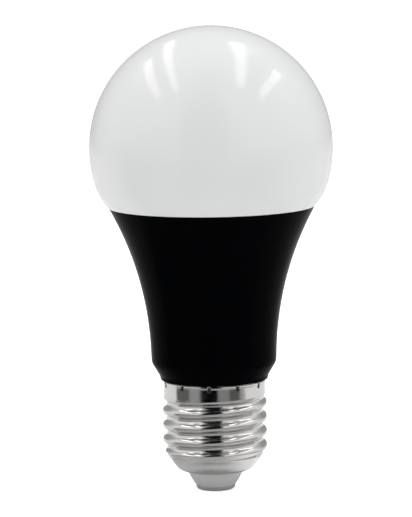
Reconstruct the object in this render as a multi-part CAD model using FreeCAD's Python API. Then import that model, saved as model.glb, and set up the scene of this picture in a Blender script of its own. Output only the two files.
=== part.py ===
"""LED bulb of the A60 size with an E27 screw cap, as an assembly of its real pieces.

The bulb stands on its centre contact. +Z runs up the lamp's axis from the cap to the globe, and the
origin is at the middle of the contact's lower face. All lengths are in millimetres, angles in degrees.
"""

import FreeCAD
import Part
import os
from math import acos, asin, atan2, ceil, cos, hypot, pi, radians, sin, sqrt, tan

Vec = FreeCAD.Vector
UP = Vec(0, 0, 1)

# Globe: a sphere that runs into a tighter arc down to the joint with the housing
GLOBE_R = 30.3
GLOBE_WALL = 1.2
LOWER_ARC_R = 14.0
LOWER_ARC_START = 17.8
LOWER_ARC_END = 43.5
LIP_HEIGHT = 1.5
LIP_EDGE = 0.15
SKIRT_WALL = 1.2
SKIRT_CLEARANCE = 0.1
SKIRT_END_GAP = 0.1
BARB_COUNT = 4
BARB_SPAN = 16.0
BARB_OUT = 0.5
BARB_HEIGHT = 0.8
BARB_SLOPE_SHARE = 0.7
BARB_CLEARANCE = 0.1

# Housing: a trumpet from the neck corner up to the joint
FLARE_HEIGHT = 38.95
FLARE_ANGLE = 27.5
FLARE_R = 79.1
FLARE_LEG_SHARE = 0.97
NECK_R = 15.65
NECK_DRAFT = 2.1
NECK_EDGE_R = 3.0
CHAMFER_HEIGHT = 4.35
FOOT_OVERHANG = 0.72
FOOT_LAND = 1.0
FOOT_LAND_OUT = 0.2
FOOT_EDGE_R = 0.2
HOUSING_WALL = 1.8
FLOOR_THICKNESS = 3.1
RIM_WALL = 2.65
RIM_DEPTH = 2.9
SNAP_GROOVE_ABOVE_LEDGE = 0.5
GLUE_GROOVE_WIDTH = 0.9
GLUE_GROOVE_DEPTH = 0.8
GLUE_GROOVE_INSET = 0.7
GLUE_CLEARANCE = 0.05
NECK_WALL = 1.8

# Screw cap: rolled thread of seven turns to the inch
THREAD_CREST_R = 13.15
THREAD_DEPTH = 1.1
THREAD_PITCH = 25.4 / 7
THREAD_CREST_Z = 18.35
THREAD_LENGTH = 15.4
THREAD_RUN_OUT = 1.7
BAND_R = 12.73
BAND_HEIGHT = 3.7
RIM_BEAD_OUT = 0.14
RIM_BEAD_HEIGHT = 1.0
RIM_BEAD_BELOW_TOP = 0.02
CAP_WALL = 0.3
CAP_CLEARANCE = 0.12
CAP_TO_FOOT = 0.05
SHOULDER_HEIGHT = 4.0
SHOULDER_R = 2.5
MOUTH_R = 7.3
MOUTH_LAND = 0.5
PUNCH_COUNT = 11
PUNCH_R = 0.45
PUNCH_DEPTH = 0.18
PUNCH_LENGTH = 0.7
PUNCH_FIRST_ANGLE = -96.2
PUNCH_BELOW_RIM = 1.15

# Base insulator and centre contact
CONTACT_R = 4.9
CONTACT_FLAT_R = 4.0
CONTACT_THICKNESS = 0.9
CONTACT_EDGE_HEIGHT = 0.72
CONE_HEIGHT = 4.0
CONE_TIP_R = 4.75
CONE_BULGE = 0.12
WAIST_GAP = 0.35
FLANGE_CLEARANCE = 0.1
STEM_R = 1.3
STEM_BORE_R = 0.8
STEM_CLEARANCE = 0.05
STEM_FLOOR = 1.2
RIVET_HEAD_R = 2.1
RIVET_HEAD_HEIGHT = 0.5
RIVET_HEAD_BULGE = 0.15

# Heat sink: a drawn cup against the housing's inner wall
SINK_WALL = 1.0
SINK_PLATE = 1.2
SINK_DEPTH = 22.5
SINK_CLEARANCE = 0.12
SINK_EDGE_R = 0.8
SINK_EDGE_SHARE = 0.9
SCREW_CLEAR_SHARE = 0.524
SCREW_R = 1.25
SCREW_LENGTH = 4.4
SCREW_HEAD_R = 2.3
SCREW_HEAD_FLAT_R = 1.15
SCREW_HEAD_HEIGHT = 1.5
SCREW_HEAD_BULGE = 0.32
SCREW_PILOT_CLEARANCE = 0.03
SCREW_HOLE_CLEARANCE = 0.2
SCREW_SLOT_WIDTH = 0.6
SCREW_SLOT_REACH = 1.38
SCREW_SLOT_DEPTH = 0.75
COLLAR_R = 2.3
COLLAR_HEIGHT = 1.2

# LED board
LED_BOARD_GAP = 1.2
LED_BOARD_THICKNESS = 1.0
LED_COUNT = 12
LED_RING_SHARE = 0.7075
LED_LENGTH = 3.5
LED_WIDTH = 2.8
LED_HEIGHT = 0.7
LED_WINDOW_R = 1.1
LED_WINDOW_FOOT_R = 0.935
LED_WINDOW_DEPTH = 0.12

# Output pins, their block and the socket on the LED board
PIN_R = 0.3
PIN_BEND_R = 0.6
PIN_PITCH = 2.54
PIN_STANDOFF = 1.3
PIN_HOLE_R = 0.4
PIN_BLOCK_CLEARANCE = 0.05
PIN_ABOVE_SOCKET = 0.4
PIN_BLOCK = (5.2, 2.4, 2.4)
PIN_BLOCK_BELOW_TOP = 0.6
SOCKET = (6.4, 4.0, 2.8)
SOCKET_EDGE = 0.4
SINK_SLOT_MARGIN = 1.4
BOARD_SLOT_MARGIN = 0.5

# Driver board
BOARD_THICKNESS = 1.0
BOARD_WIDTH = 20.0
BOARD_FLOOR_GAP = 0.2
BOARD_TOP_GAP = 2.7
TONGUE_MARGIN = 1.1
TONGUE_ABOVE_NECK_END = 1.9
RAIL_DEPTH = 2.3
RAIL_THICKNESS = 0.9
RAIL_CLEARANCE = 0.15
RAIL_ABOVE_TONGUE_END = 1.0
LEAD_R = 0.3
LEAD_HOLE_R = 0.45
LEAD_BEND_R = 0.6
LEAD_PAST_BOARD = 0.8

# Parts on the driver board: size, then place as (across, up) from the tongue's end or the housing's floor
INPUT_CAN_R = 4.0
INPUT_CAN_LENGTH = 12.0
INPUT_CAN_ON_TONGUE = (0.0, 3.9)
OUTPUT_CAN_R = 4.0
OUTPUT_CAN_LENGTH = 14.0
OUTPUT_CAN_AT = (6.9, 15.6)
CAN_GAP = 0.3
CAN_EDGE_R = 0.48
CAN_CRIMP_LOW = 1.6
CAN_CRIMP_HEIGHT = 1.28
CAN_LEAD_PITCH = 3.5
CAN_LEAD_DROP = 1.2
FUSE_R = 1.6
FUSE_WAIST_R = 1.31
FUSE_LENGTH = 8.0
FUSE_END_LENGTH = 1.76
FUSE_LEAD_REACH = 2.4
FUSE_AT = (3.8, 7.3)
CHOKE_FLANGE_R = 3.4
CHOKE_CORE_R = 1.7
CHOKE_HEIGHT = 6.5
CHOKE_FLANGE = 1.0
CHOKE_WINDING_R = 2.9
CHOKE_CROWN = 0.25
CHOKE_AT = (-4.6, 6.8)
INDUCTOR_AT = (-4.2, 20.3)
CORE_WIDTH = 10.0
CORE_DEPTH = 4.6
CORE_HALF_HEIGHT = 5.2
CORE_BACK = 1.6
CORE_LEG = 1.3
CORE_POST = 2.6
BOBBIN_CLEARANCE = 0.1
BOBBIN_WALL = 0.5
BOBBIN_FLANGE = 0.7
BOBBIN_PIN_R = 0.25
BOBBIN_PIN_DEPTH = 1.8
WINDING_MARGIN = 0.25
WINDING_EDGE_R = 0.8
BRIDGE_SIZE = (3.9, 4.7, 2.2)
BRIDGE_AT = (4.6, 4.6)
CHIP_SIZE = (3.9, 4.9, 1.4)
CHIP_AT = (-4.4, 10.6)
DIODE_SIZE = (2.6, 4.3, 2.0)
DIODE_AT = (3.4, 24.6)
CHIP_RESISTOR_SIZE = (1.6, 3.2, 0.55)
CHIP_RESISTORS_AT = ((0.6, 8.8), (1.6, 18.2), (4.4, 18.2), (-8.4, 17.6), (-1.4, 27.4))
CHIP_CAPACITOR_SIZE = (1.6, 3.2, 1.2)
CHIP_CAPACITOR_AT = (-5.4, 27.4)
END_CAP_SHARE = 0.16
END_CAP_PROUD = 0.03
CHIP_CHAMFER_SHARE = 0.2
LEG_THICKNESS = 0.25
LEG_REACH = 0.8
LEG_ROOT = 0.2
LEG_WIDTH_SHARE = 0.35

# Wires
WIRE_R = 0.7
CONDUCTOR_R = 0.35
CONDUCTOR_ROOT = 0.5
WIRE_BEND_R = 1.2
WIRE_BARE = 1.6
WIRE_END_GAP = 0.05
LIVE_HOLE_ON_TONGUE = (-4.5, 5.0)
NEUTRAL_HOLE_ON_TONGUE = (4.0, 5.0)
LIVE_TURN_ABOVE_END = 1.4
LIVE_RISE = 1.8
LIVE_ABOVE_RIVET = 0.4
LIVE_LOOP = 4.0
NEUTRAL_LOOP = 6.2
NOTCH_MARGIN = 0.25
NECK_END_GAP = 0.6

# How far the middle of a rounded corner lies from its two sides, as a share of its radius
CORNER = 1 - sqrt(0.5)

# Rows and columns of the rolled thread's surface
ROWS_PER_PITCH = 16
RING_POLES = 40

# Heights that follow from the sizes above, from the contact upwards
MOUTH_Z = CONTACT_THICKNESS + CONE_HEIGHT
THREAD_START_Z = MOUTH_Z + SHOULDER_HEIGHT
THREAD_END_Z = THREAD_START_Z + THREAD_LENGTH
CAP_TOP_Z = THREAD_END_Z + BAND_HEIGHT
FOOT_Z = CAP_TOP_Z + CAP_TO_FOOT
NECK_Z = FOOT_Z + CHAMFER_HEIGHT
JOINT_Z = NECK_Z + FLARE_HEIGHT
NECK_END_Z = THREAD_START_Z + NECK_END_GAP
TONGUE_END_Z = NECK_END_Z + TONGUE_ABOVE_NECK_END
FLOOR_Z = FOOT_Z + FLOOR_THICKNESS
LEDGE_Z = JOINT_Z - RIM_DEPTH
PLATE_UNDER_Z = LEDGE_Z - SINK_PLATE
LED_BOARD_TOP_Z = LEDGE_Z + LED_BOARD_THICKNESS
SOCKET_TOP_Z = LED_BOARD_TOP_Z + SOCKET[2]
FLANGE_TOP_Z = MOUTH_Z + SHOULDER_R

# Radii that follow
ARC_START = radians(LOWER_ARC_START)
ARC_END = radians(LOWER_ARC_END)
LOWER_ARC_CENTRE_R = (GLOBE_R - LOWER_ARC_R) * cos(ARC_START)
JOINT_R = LOWER_ARC_CENTRE_R + LOWER_ARC_R * cos(ARC_END)
LOWER_ARC_CENTRE_Z = JOINT_Z + LOWER_ARC_R * sin(ARC_END)
GLOBE_Z = LOWER_ARC_CENTRE_Z + (GLOBE_R - LOWER_ARC_R) * sin(ARC_START)
FOOT_R = BAND_R + FOOT_OVERHANG
RIM_BORE_R = JOINT_R - RIM_WALL
SKIRT_R = RIM_BORE_R - SKIRT_CLEARANCE
LED_BOARD_R = SKIRT_R - SKIRT_WALL - LED_BOARD_GAP
LED_RING_R = LED_BOARD_R * LED_RING_SHARE
THREAD_ROOT_R = THREAD_CREST_R - THREAD_DEPTH
THREAD_ARC_R = (THREAD_PITCH**2 / 16 + THREAD_DEPTH**2 / 4) / THREAD_DEPTH
NECK_INSET = CAP_WALL + CAP_CLEARANCE
NECK_BORE_R = THREAD_ROOT_R - NECK_INSET - NECK_WALL
TONGUE_HALF = NECK_BORE_R - TONGUE_MARGIN
PIN_Y = -BOARD_THICKNESS / 2 - PIN_STANDOFF
SOCKET_REACH = SOCKET[1] / 2 - PIN_Y
SCREW_OFFSET = SOCKET_REACH + (LED_RING_R - LED_LENGTH / 2 - SOCKET_REACH) * SCREW_CLEAR_SHARE
BOARD_TOP_Z = PLATE_UNDER_Z - BOARD_TOP_GAP
PIN_BLOCK_Z = BOARD_TOP_Z - PIN_BLOCK[2] - PIN_BLOCK_BELOW_TOP
PIN_TURN_Z = PIN_BLOCK_Z + PIN_BLOCK[2] / 2


def rz(r, z):
    """A point of a turned profile."""
    return Vec(r, 0, z)


def unit(v):
    """The same direction with a length of one."""
    return v * (1 / v.Length)


def rounded(before, corner, after, radius):
    """Start, middle and end of the arc that rounds a corner."""
    a = unit(before - corner)
    b = unit(after - corner)
    half = a.getAngle(b) / 2
    bisector = unit(a + b)
    centre = corner + bisector * (radius / sin(half))
    reach = radius / tan(half)
    return corner + a * reach, centre - bisector * radius, corner + b * reach


def joined(start, *steps):
    """Edges from a start point, where a step is an end point, or a (middle, end) pair for an arc."""
    edges = []
    here = start
    for step in steps:
        if isinstance(step, tuple):
            middle, end = step
            edges.append(Part.Arc(here, middle, end).toShape())
        else:
            end = step
            edges.append(Part.LineSegment(here, end).toShape())
        here = end
    return edges


def turned(start, *steps):
    """The solid that a closed profile sweeps around the Z axis."""
    face = Part.Face(Part.Wire(joined(start, *steps, start)))
    return face.revolve(Vec(), UP, 360)


def ring(inner_r, outer_r, low, high):
    """A plain ring about the Z axis."""
    return turned(rz(inner_r, low), rz(outer_r, low), rz(outer_r, high), rz(inner_r, high))


def box(low, high):
    """A box between two corners."""
    size = high - low
    return Part.makeBox(size.x, size.y, size.z, low)


def fused(shapes):
    """One clean solid from pieces that overlap or touch."""
    return shapes[0].multiFuse(shapes[1:]).removeSplitter()


def rod(radius, start, end):
    """A straight cylinder from one point to another."""
    return Part.makeCylinder(radius, (end - start).Length, start, end - start)


def wire(points, radius, bend):
    """A round wire along straight runs with tangent bends."""
    edges = []
    here = points[0]
    for before, corner, after in zip(points, points[1:], points[2:]):
        start, middle, end = rounded(before, corner, after, bend)
        edges += joined(here, start, (middle, end))
        here = end
    edges += joined(here, points[-1])
    section = Part.Wire(Part.makeCircle(radius, points[0], points[1] - points[0]))
    return Part.Wire(edges).makePipeShell([section], True, False)


def around(shape, count, first=0.0):
    """Copies of a shape, evenly spaced about the Z axis."""
    copies = []
    for i in range(count):
        copies.append(shape.rotated(Vec(), UP, first + 360 * i / count))
    return copies


# Screw cap and everything that follows its rolled form


def smooth(t):
    """A soft step from 0 to 1."""
    t = min(max(t, 0.0), 1.0)
    return t * t * (3 - 2 * t)


def thread_radius(angle, z, inset):
    """Radius of the rolled thread, moved inwards by inset with its arcs kept concentric."""
    phase = (z - THREAD_CREST_Z - THREAD_PITCH * angle / (2 * pi)) % THREAD_PITCH
    from_crest = min(phase, THREAD_PITCH - phase)
    crest_arc = THREAD_ARC_R - inset
    root_arc = THREAD_ARC_R + inset
    if from_crest <= THREAD_PITCH / 4 * crest_arc / THREAD_ARC_R:
        return THREAD_CREST_R - THREAD_ARC_R + sqrt(crest_arc**2 - from_crest**2)
    from_root = THREAD_PITCH / 2 - from_crest
    return THREAD_ROOT_R + THREAD_ARC_R - sqrt(root_arc**2 - from_root**2)


def cap_radius(angle, z, inset):
    """Radius of the cap's wall: plain at both ends, threaded between."""
    threaded = thread_radius(angle, z, inset)
    top = smooth((THREAD_END_Z - z) / THREAD_RUN_OUT)
    bottom = smooth((z - THREAD_START_Z) / THREAD_RUN_OUT)
    radius = (BAND_R - inset) * (1 - top) + threaded * top
    return (THREAD_ROOT_R - inset) * (1 - bottom) + radius * bottom


def wall_rows(low, high, inset):
    """Rows of poles of the cap's wall, each row one turn round the axis."""
    count = ceil((high - low) / THREAD_PITCH * ROWS_PER_PITCH)
    rows = []
    for j in range(count + 1):
        z = low + (high - low) * j / count
        rows.append([(cap_radius(2 * pi * i / RING_POLES, z, inset), z) for i in range(RING_POLES)])
    return rows


def shoulder_rows(inset):
    """Rows of the turned-in end: the mouth, a round corner and a cone up to the wall."""
    centre_r = MOUTH_R + MOUTH_LAND
    centre_z = MOUTH_Z + SHOULDER_R
    to_wall = hypot(THREAD_ROOT_R - centre_r, THREAD_START_Z - centre_z)
    cone = atan2(THREAD_START_Z - centre_z, THREAD_ROOT_R - centre_r) - acos(SHOULDER_R / to_wall)
    arc_r = SHOULDER_R - inset
    points = [(MOUTH_R, MOUTH_Z + inset)]
    arc_steps = 7
    for k in range(arc_steps + 1):
        angle = -pi / 2 + (cone + pi / 2) * k / arc_steps
        points.append((centre_r + arc_r * cos(angle), centre_z + arc_r * sin(angle)))
    low_r, low_z = points[-1]
    high_r = THREAD_ROOT_R - inset
    high_z = THREAD_START_Z + inset * (1 - cos(cone)) / -sin(cone)
    cone_steps = 5
    for k in range(1, cone_steps):
        share = k / cone_steps
        points.append((low_r + (high_r - low_r) * share, low_z + (high_z - low_z) * share))
    return [[point] * RING_POLES for point in points], high_z


def skin(rows):
    """A smooth face, closed round the axis, through rows of (radius, height) poles."""
    ring_shrink = (2 + cos(2 * pi / RING_POLES)) / 3
    poles = []
    for row in rows:
        line = []
        for i, (radius, z) in enumerate(row):
            angle = 2 * pi * i / RING_POLES
            reach = radius / ring_shrink
            line.append(Vec(reach * cos(angle), reach * sin(angle), z))
        poles.append(line)
    spans = len(rows) - 3
    up_mults = [4] + [1] * (spans - 1) + [4]
    up_knots = [k / spans for k in range(spans + 1)]
    ring_mults = [1] * (RING_POLES + 1)
    ring_knots = [k / RING_POLES for k in range(RING_POLES + 1)]
    surface = Part.BSplineSurface()
    surface.buildFromPolesMultsKnots(
        poles, up_mults, ring_mults, up_knots, ring_knots, False, True, 3, 3
    )
    return surface


def closed_tube(outer, inner):
    """A solid between two skins, closed by a flat ring at each end."""
    faces = [outer.toShape(), inner.toShape()]
    for end in (0.0, 1.0):
        faces.append(Part.makeRuledSurface(outer.uIso(end).toShape(), inner.uIso(end).toShape()))
    shell = Part.makeShell(faces)
    shell.sewShape()
    solid = Part.makeSolid(shell)
    if solid.Volume < 0:
        solid.reverse()
    return solid


def rim_bead():
    """Rounded bead round the cap's rim, sunk a little into its wall."""
    inner = BAND_R - CAP_WALL / 3
    high = CAP_TOP_Z - RIM_BEAD_BELOW_TOP
    low = high - RIM_BEAD_HEIGHT
    return turned(rz(inner, low), (rz(BAND_R + RIM_BEAD_OUT, (low + high) / 2), rz(inner, high)))


def punch_tool():
    """Round-ended tool that stakes the shell to the neck, with its long side upright."""
    radius = (PUNCH_R**2 + PUNCH_DEPTH**2) / (2 * PUNCH_DEPTH)
    low = rz(BAND_R + radius - PUNCH_DEPTH, CAP_TOP_Z - PUNCH_BELOW_RIM)
    high = low + rz(0, PUNCH_LENGTH)
    return fused([rod(radius, low, high), Part.makeSphere(radius, low), Part.makeSphere(radius, high)])


def screw_shell():
    """Thin rolled shell with a bead at its rim, punch marks and a turned-in end."""
    skins = []
    for inset in (0.0, CAP_WALL):
        end_rows, wall_low = shoulder_rows(inset)
        skins.append(skin(end_rows + wall_rows(wall_low, CAP_TOP_Z, inset)))
    shell = closed_tube(*skins).fuse(rim_bead())
    return shell.cut(Part.makeCompound(around(punch_tool(), PUNCH_COUNT, PUNCH_FIRST_ANGLE)))


def threaded_neck():
    """The moulded neck that fills the rolled shell, with a bore for the driver board."""
    outer = skin(wall_rows(NECK_END_Z, FOOT_Z, NECK_INSET))
    bore_rows = []
    for k in range(4):
        z = NECK_END_Z + (FOOT_Z - NECK_END_Z) * k / 3
        bore_rows.append([(NECK_BORE_R, z)] * RING_POLES)
    return closed_tube(outer, skin(bore_rows))


def base_insulator():
    """Moulded cone below the cap, with a flange that seats inside the turned-in end."""
    hole = STEM_R + STEM_CLEARANCE
    waist = MOUTH_R - WAIST_GAP
    cone_top = rz(waist, MOUTH_Z - WAIST_GAP)
    cone_tip = rz(CONE_TIP_R, CONTACT_THICKNESS)
    cone_middle = (cone_top + cone_tip) * 0.5 + rz(CONE_BULGE, -CONE_BULGE)
    centre_r = MOUTH_R + MOUTH_LAND
    flange_arc = SHOULDER_R - CAP_WALL - FLANGE_CLEARANCE
    under = FLANGE_TOP_Z - flange_arc
    slant = flange_arc * cos(pi / 4)
    return turned(
        rz(hole, CONTACT_THICKNESS),
        cone_tip,
        (cone_middle, cone_top),
        rz(waist, under),
        rz(centre_r, under),
        (rz(centre_r + slant, FLANGE_TOP_Z - slant), rz(centre_r + flange_arc, FLANGE_TOP_Z)),
        rz(hole, FLANGE_TOP_Z),
    )


def centre_contact():
    """Pressed disc with a rounded edge and a hollow stem riveted over the insulator."""
    edge_out = CONTACT_R - CONTACT_FLAT_R
    edge_middle = rz(CONTACT_R - CORNER * edge_out, CORNER * CONTACT_EDGE_HEIGHT)
    head_edge = rz(RIVET_HEAD_R, FLANGE_TOP_Z)
    head_top = rz(STEM_R, FLANGE_TOP_Z + RIVET_HEAD_HEIGHT)
    head_middle = (head_edge + head_top) * 0.5 + rz(RIVET_HEAD_BULGE, RIVET_HEAD_BULGE)
    return turned(
        rz(0, 0),
        rz(CONTACT_FLAT_R, 0),
        (edge_middle, rz(CONTACT_R, CONTACT_EDGE_HEIGHT)),
        rz(CONTACT_R, CONTACT_THICKNESS),
        rz(STEM_R, CONTACT_THICKNESS),
        rz(STEM_R, FLANGE_TOP_Z),
        head_edge,
        (head_middle, head_top),
        rz(STEM_BORE_R, head_top.z),
        rz(STEM_BORE_R, STEM_FLOOR),
        rz(0, STEM_FLOOR),
    )


# Housing and what follows its trumpet form


def flare_line(inset):
    """Lower end, knee and upper end of the trumpet's two straight legs, moved inwards by inset."""
    draft = radians(NECK_DRAFT)
    flare = radians(FLARE_ANGLE)
    low_r = NECK_R - inset / cos(draft)
    high_r = JOINT_R - inset / cos(flare)
    knee_up = (high_r - low_r - FLARE_HEIGHT * tan(flare)) / (tan(draft) - tan(flare))
    knee = rz(low_r + knee_up * tan(draft), NECK_Z + knee_up)
    return rz(low_r, NECK_Z), knee, rz(high_r, JOINT_Z)


def trumpet(inset, low, high):
    """Solid of the trumpet between two heights, moved inwards by inset."""
    foot, knee, top = flare_line(inset)
    start_z = min(low, NECK_Z)
    foot = foot + unit(foot - knee) * ((foot.z - start_z) / cos(radians(NECK_DRAFT)))
    outer_foot, outer_knee, outer_top = flare_line(0)
    turn = radians(FLARE_ANGLE - NECK_DRAFT) / 2
    shorter = min((outer_knee - outer_foot).Length, (outer_top - outer_knee).Length)
    radius = min(FLARE_R, FLARE_LEG_SHARE * shorter / tan(turn)) + inset
    start, middle, end = rounded(foot, knee, top, radius)
    solid = turned(rz(0, start_z), foot, start, (middle, end), top, rz(0, JOINT_Z))
    if low > start_z or high < JOINT_Z:
        solid = solid.common(Part.makeCylinder(2 * JOINT_R, high - low, rz(0, low)))
    return solid


def board_rails():
    """Two pairs of ribs in the neck that hold the driver board's edges."""
    ribs = []
    inner = TONGUE_HALF - RAIL_DEPTH / 2
    start = BOARD_THICKNESS / 2 + RAIL_CLEARANCE
    low = TONGUE_END_Z + RAIL_ABOVE_TONGUE_END
    for side in (1, -1):
        for face in (1, -1):
            xs = sorted((side * inner, side * (NECK_BORE_R + NECK_WALL / 2)))
            ys = sorted((face * start, face * (start + RAIL_THICKNESS)))
            ribs.append(box(Vec(xs[0], ys[0], low), Vec(xs[1], ys[1], FLOOR_Z)))
    return ribs


def level_edges(solid, z):
    """Edges that lie flat at one height."""
    return [e for e in solid.Edges if abs(e.BoundBox.ZMin - z) < 0.01 and abs(e.BoundBox.ZMax - z) < 0.01]


def foot():
    """Foot of the housing: a short land over the cap's rim, then a taper out to the neck."""
    land_top = rz(FOOT_R + FOOT_LAND_OUT, FOOT_Z + FOOT_LAND)
    return turned(rz(0, FOOT_Z), rz(FOOT_R, FOOT_Z), land_top, rz(NECK_R, NECK_Z), rz(0, NECK_Z))


def housing():
    """Moulded trumpet with a snap rim at the top and a threaded neck at the bottom."""
    body = fused([trumpet(0, NECK_Z, JOINT_Z), foot()])
    body = body.makeFillet(min(NECK_EDGE_R, CHAMFER_HEIGHT - FOOT_LAND), level_edges(body, NECK_Z))
    body = body.makeFillet(FOOT_EDGE_R, level_edges(body, FOOT_Z))
    body = body.makeChamfer(LIP_EDGE, level_edges(body, JOINT_Z))
    groove_low = LEDGE_Z + SNAP_GROOVE_ABOVE_LEDGE
    groove_high = groove_low + BARB_HEIGHT + 2 * BARB_CLEARANCE
    groove_r = SKIRT_R + BARB_OUT + BARB_CLEARANCE
    glue_outer = JOINT_R - GLUE_GROOVE_INSET
    hollows = [
        trumpet(HOUSING_WALL, FLOOR_Z, LEDGE_Z),
        Part.makeCylinder(RIM_BORE_R, 2 * RIM_DEPTH, rz(0, LEDGE_Z)),
        Part.makeCylinder(NECK_BORE_R, 2 * FLOOR_THICKNESS, rz(0, FLOOR_Z - 1.5 * FLOOR_THICKNESS)),
        ring(RIM_BORE_R - SKIRT_CLEARANCE, groove_r, groove_low, groove_high),
        ring(glue_outer - GLUE_GROOVE_WIDTH, glue_outer, JOINT_Z - GLUE_GROOVE_DEPTH, JOINT_Z + 1),
    ]
    for hollow in hollows:
        body = body.cut(hollow)
    body = body.fuse(threaded_neck())
    for rib in board_rails():
        body = body.fuse(rib)
    return body.cut(wire_notch())


def wire_notch():
    """Gap in the neck's end where the neutral wire passes out to the shell."""
    half = WIRE_R + NOTCH_MARGIN
    across = NEUTRAL_HOLE_ON_TONGUE[0]
    inner = sqrt(NECK_BORE_R**2 - (across + half) ** 2) - NOTCH_MARGIN
    return box(
        Vec(across - half, inner, NECK_END_Z - 1),
        Vec(across + half, THREAD_CREST_R, neutral_exit_z() + half),
    )


def on_sphere(angle, inset):
    """Point of the globe's sphere, at an angle below its equator."""
    radius = GLOBE_R - inset
    return rz(radius * cos(angle), GLOBE_Z - radius * sin(angle))


def on_lower_arc(angle, inset):
    """Point of the arc between the sphere and the joint."""
    radius = LOWER_ARC_R - inset
    return rz(LOWER_ARC_CENTRE_R + radius * cos(angle), LOWER_ARC_CENTRE_Z - radius * sin(angle))


def diffuser():
    """Opal globe with a thick lip on the rim and a short skirt with snap barbs."""
    lip_top = JOINT_Z + LIP_HEIGHT
    edge = ARC_END - LIP_EDGE / LOWER_ARC_R
    inner_end = asin((LOWER_ARC_CENTRE_Z - lip_top) / (LOWER_ARC_R - GLOBE_WALL))
    skirt_end = LEDGE_Z + SKIRT_END_GAP
    skirt_inner = SKIRT_R - SKIRT_WALL
    pole = -pi / 2
    upper_middle = (pole + ARC_START) / 2
    globe = turned(
        on_sphere(pole, 0),
        (on_sphere(upper_middle, 0), on_sphere(ARC_START, 0)),
        (on_lower_arc((ARC_START + edge) / 2, 0), on_lower_arc(edge, 0)),
        rz(JOINT_R - LIP_EDGE, JOINT_Z),
        rz(SKIRT_R, JOINT_Z),
        rz(SKIRT_R, skirt_end + LIP_EDGE),
        rz(SKIRT_R - LIP_EDGE, skirt_end),
        rz(skirt_inner, skirt_end),
        rz(skirt_inner, lip_top),
        on_lower_arc(inner_end, GLOBE_WALL),
        (on_lower_arc((ARC_START + inner_end) / 2, GLOBE_WALL), on_sphere(ARC_START, GLOBE_WALL)),
        (on_sphere(upper_middle, GLOBE_WALL), on_sphere(pole, GLOBE_WALL)),
    )
    barb_low = LEDGE_Z + SNAP_GROOVE_ABOVE_LEDGE + BARB_CLEARANCE
    barb_face = Part.Face(Part.Wire(joined(
        rz(SKIRT_R - SKIRT_WALL / 2, barb_low),
        rz(SKIRT_R, barb_low),
        rz(SKIRT_R + BARB_OUT, barb_low + BARB_HEIGHT * BARB_SLOPE_SHARE),
        rz(SKIRT_R + BARB_OUT, barb_low + BARB_HEIGHT),
        rz(SKIRT_R - SKIRT_WALL / 2, barb_low + BARB_HEIGHT),
        rz(SKIRT_R - SKIRT_WALL / 2, barb_low),
    )))
    barb = barb_face.revolve(Vec(), UP, BARB_SPAN)
    return fused([globe] + around(barb, BARB_COUNT, 45 - BARB_SPAN / 2))


def seal_ring():
    """Silicone bead in the rim's groove, under the globe's lip."""
    outer = JOINT_R - GLUE_GROOVE_INSET - GLUE_CLEARANCE
    inner = JOINT_R - GLUE_GROOVE_INSET - GLUE_GROOVE_WIDTH + GLUE_CLEARANCE
    low = JOINT_Z - GLUE_GROOVE_DEPTH + GLUE_CLEARANCE
    return ring(inner, outer, low, JOINT_Z)


def screw_places():
    """Centres of the two screws, seen from above."""
    return [Vec(0, SCREW_OFFSET, 0), Vec(0, -SCREW_OFFSET, 0)]


def pin_slot(margin, low, high):
    """Round-ended slot for the two output pins."""
    half = PIN_PITCH / 2
    ends = [rod(margin, Vec(x, PIN_Y, low), Vec(x, PIN_Y, high)) for x in (-half, half)]
    middle = box(Vec(-half, PIN_Y - margin, low), Vec(half, PIN_Y + margin, high))
    return fused(ends + [middle])


def heat_sink():
    """Drawn aluminium cup: a plate with two drawn screw collars and a flared wall."""
    low = LEDGE_Z - SINK_DEPTH
    inset = HOUSING_WALL + SINK_CLEARANCE
    outer = trumpet(inset, low, LEDGE_Z)
    outer = outer.makeFillet(min(SINK_EDGE_R, SINK_PLATE * SINK_EDGE_SHARE), level_edges(outer, LEDGE_Z))
    cup = outer.cut(trumpet(inset + SINK_WALL, low, PLATE_UNDER_Z))
    collar_low = PLATE_UNDER_Z - COLLAR_HEIGHT
    for place in screw_places():
        cup = cup.fuse(rod(COLLAR_R, place + rz(0, collar_low), place + rz(0, PLATE_UNDER_Z)))
    pilot_r = SCREW_R + SCREW_PILOT_CLEARANCE
    for place in screw_places():
        cup = cup.cut(rod(pilot_r, place + rz(0, collar_low - 1), place + rz(0, LEDGE_Z + 1)))
    cup = cup.cut(pin_slot(PIN_R + SINK_SLOT_MARGIN, PLATE_UNDER_Z - 1, LEDGE_Z + 1))
    return cup.removeSplitter()


def led_board():
    """Aluminium-core disc with holes for the screws and the output pins."""
    board = Part.makeCylinder(LED_BOARD_R, LED_BOARD_THICKNESS, rz(0, LEDGE_Z))
    hole_r = SCREW_R + SCREW_HOLE_CLEARANCE
    for place in screw_places():
        board = board.cut(rod(hole_r, place + rz(0, LEDGE_Z - 1), place + rz(0, LED_BOARD_TOP_Z + 1)))
    return board.cut(pin_slot(PIN_R + BOARD_SLOT_MARGIN, LEDGE_Z - 1, LED_BOARD_TOP_Z + 1))


def led_packages():
    """Twelve LED packages in a ring, each with a round phosphor window."""
    top = LED_BOARD_TOP_Z + LED_HEIGHT
    body = box(
        Vec(LED_RING_R - LED_LENGTH / 2, -LED_WIDTH / 2, LED_BOARD_TOP_Z),
        Vec(LED_RING_R + LED_LENGTH / 2, LED_WIDTH / 2, top),
    )
    window = Part.makeCone(
        LED_WINDOW_FOOT_R, LED_WINDOW_R, LED_WINDOW_DEPTH, Vec(LED_RING_R, 0, top - LED_WINDOW_DEPTH)
    )
    return around(body.cut(window), LED_COUNT, 180 / LED_COUNT)


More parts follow.
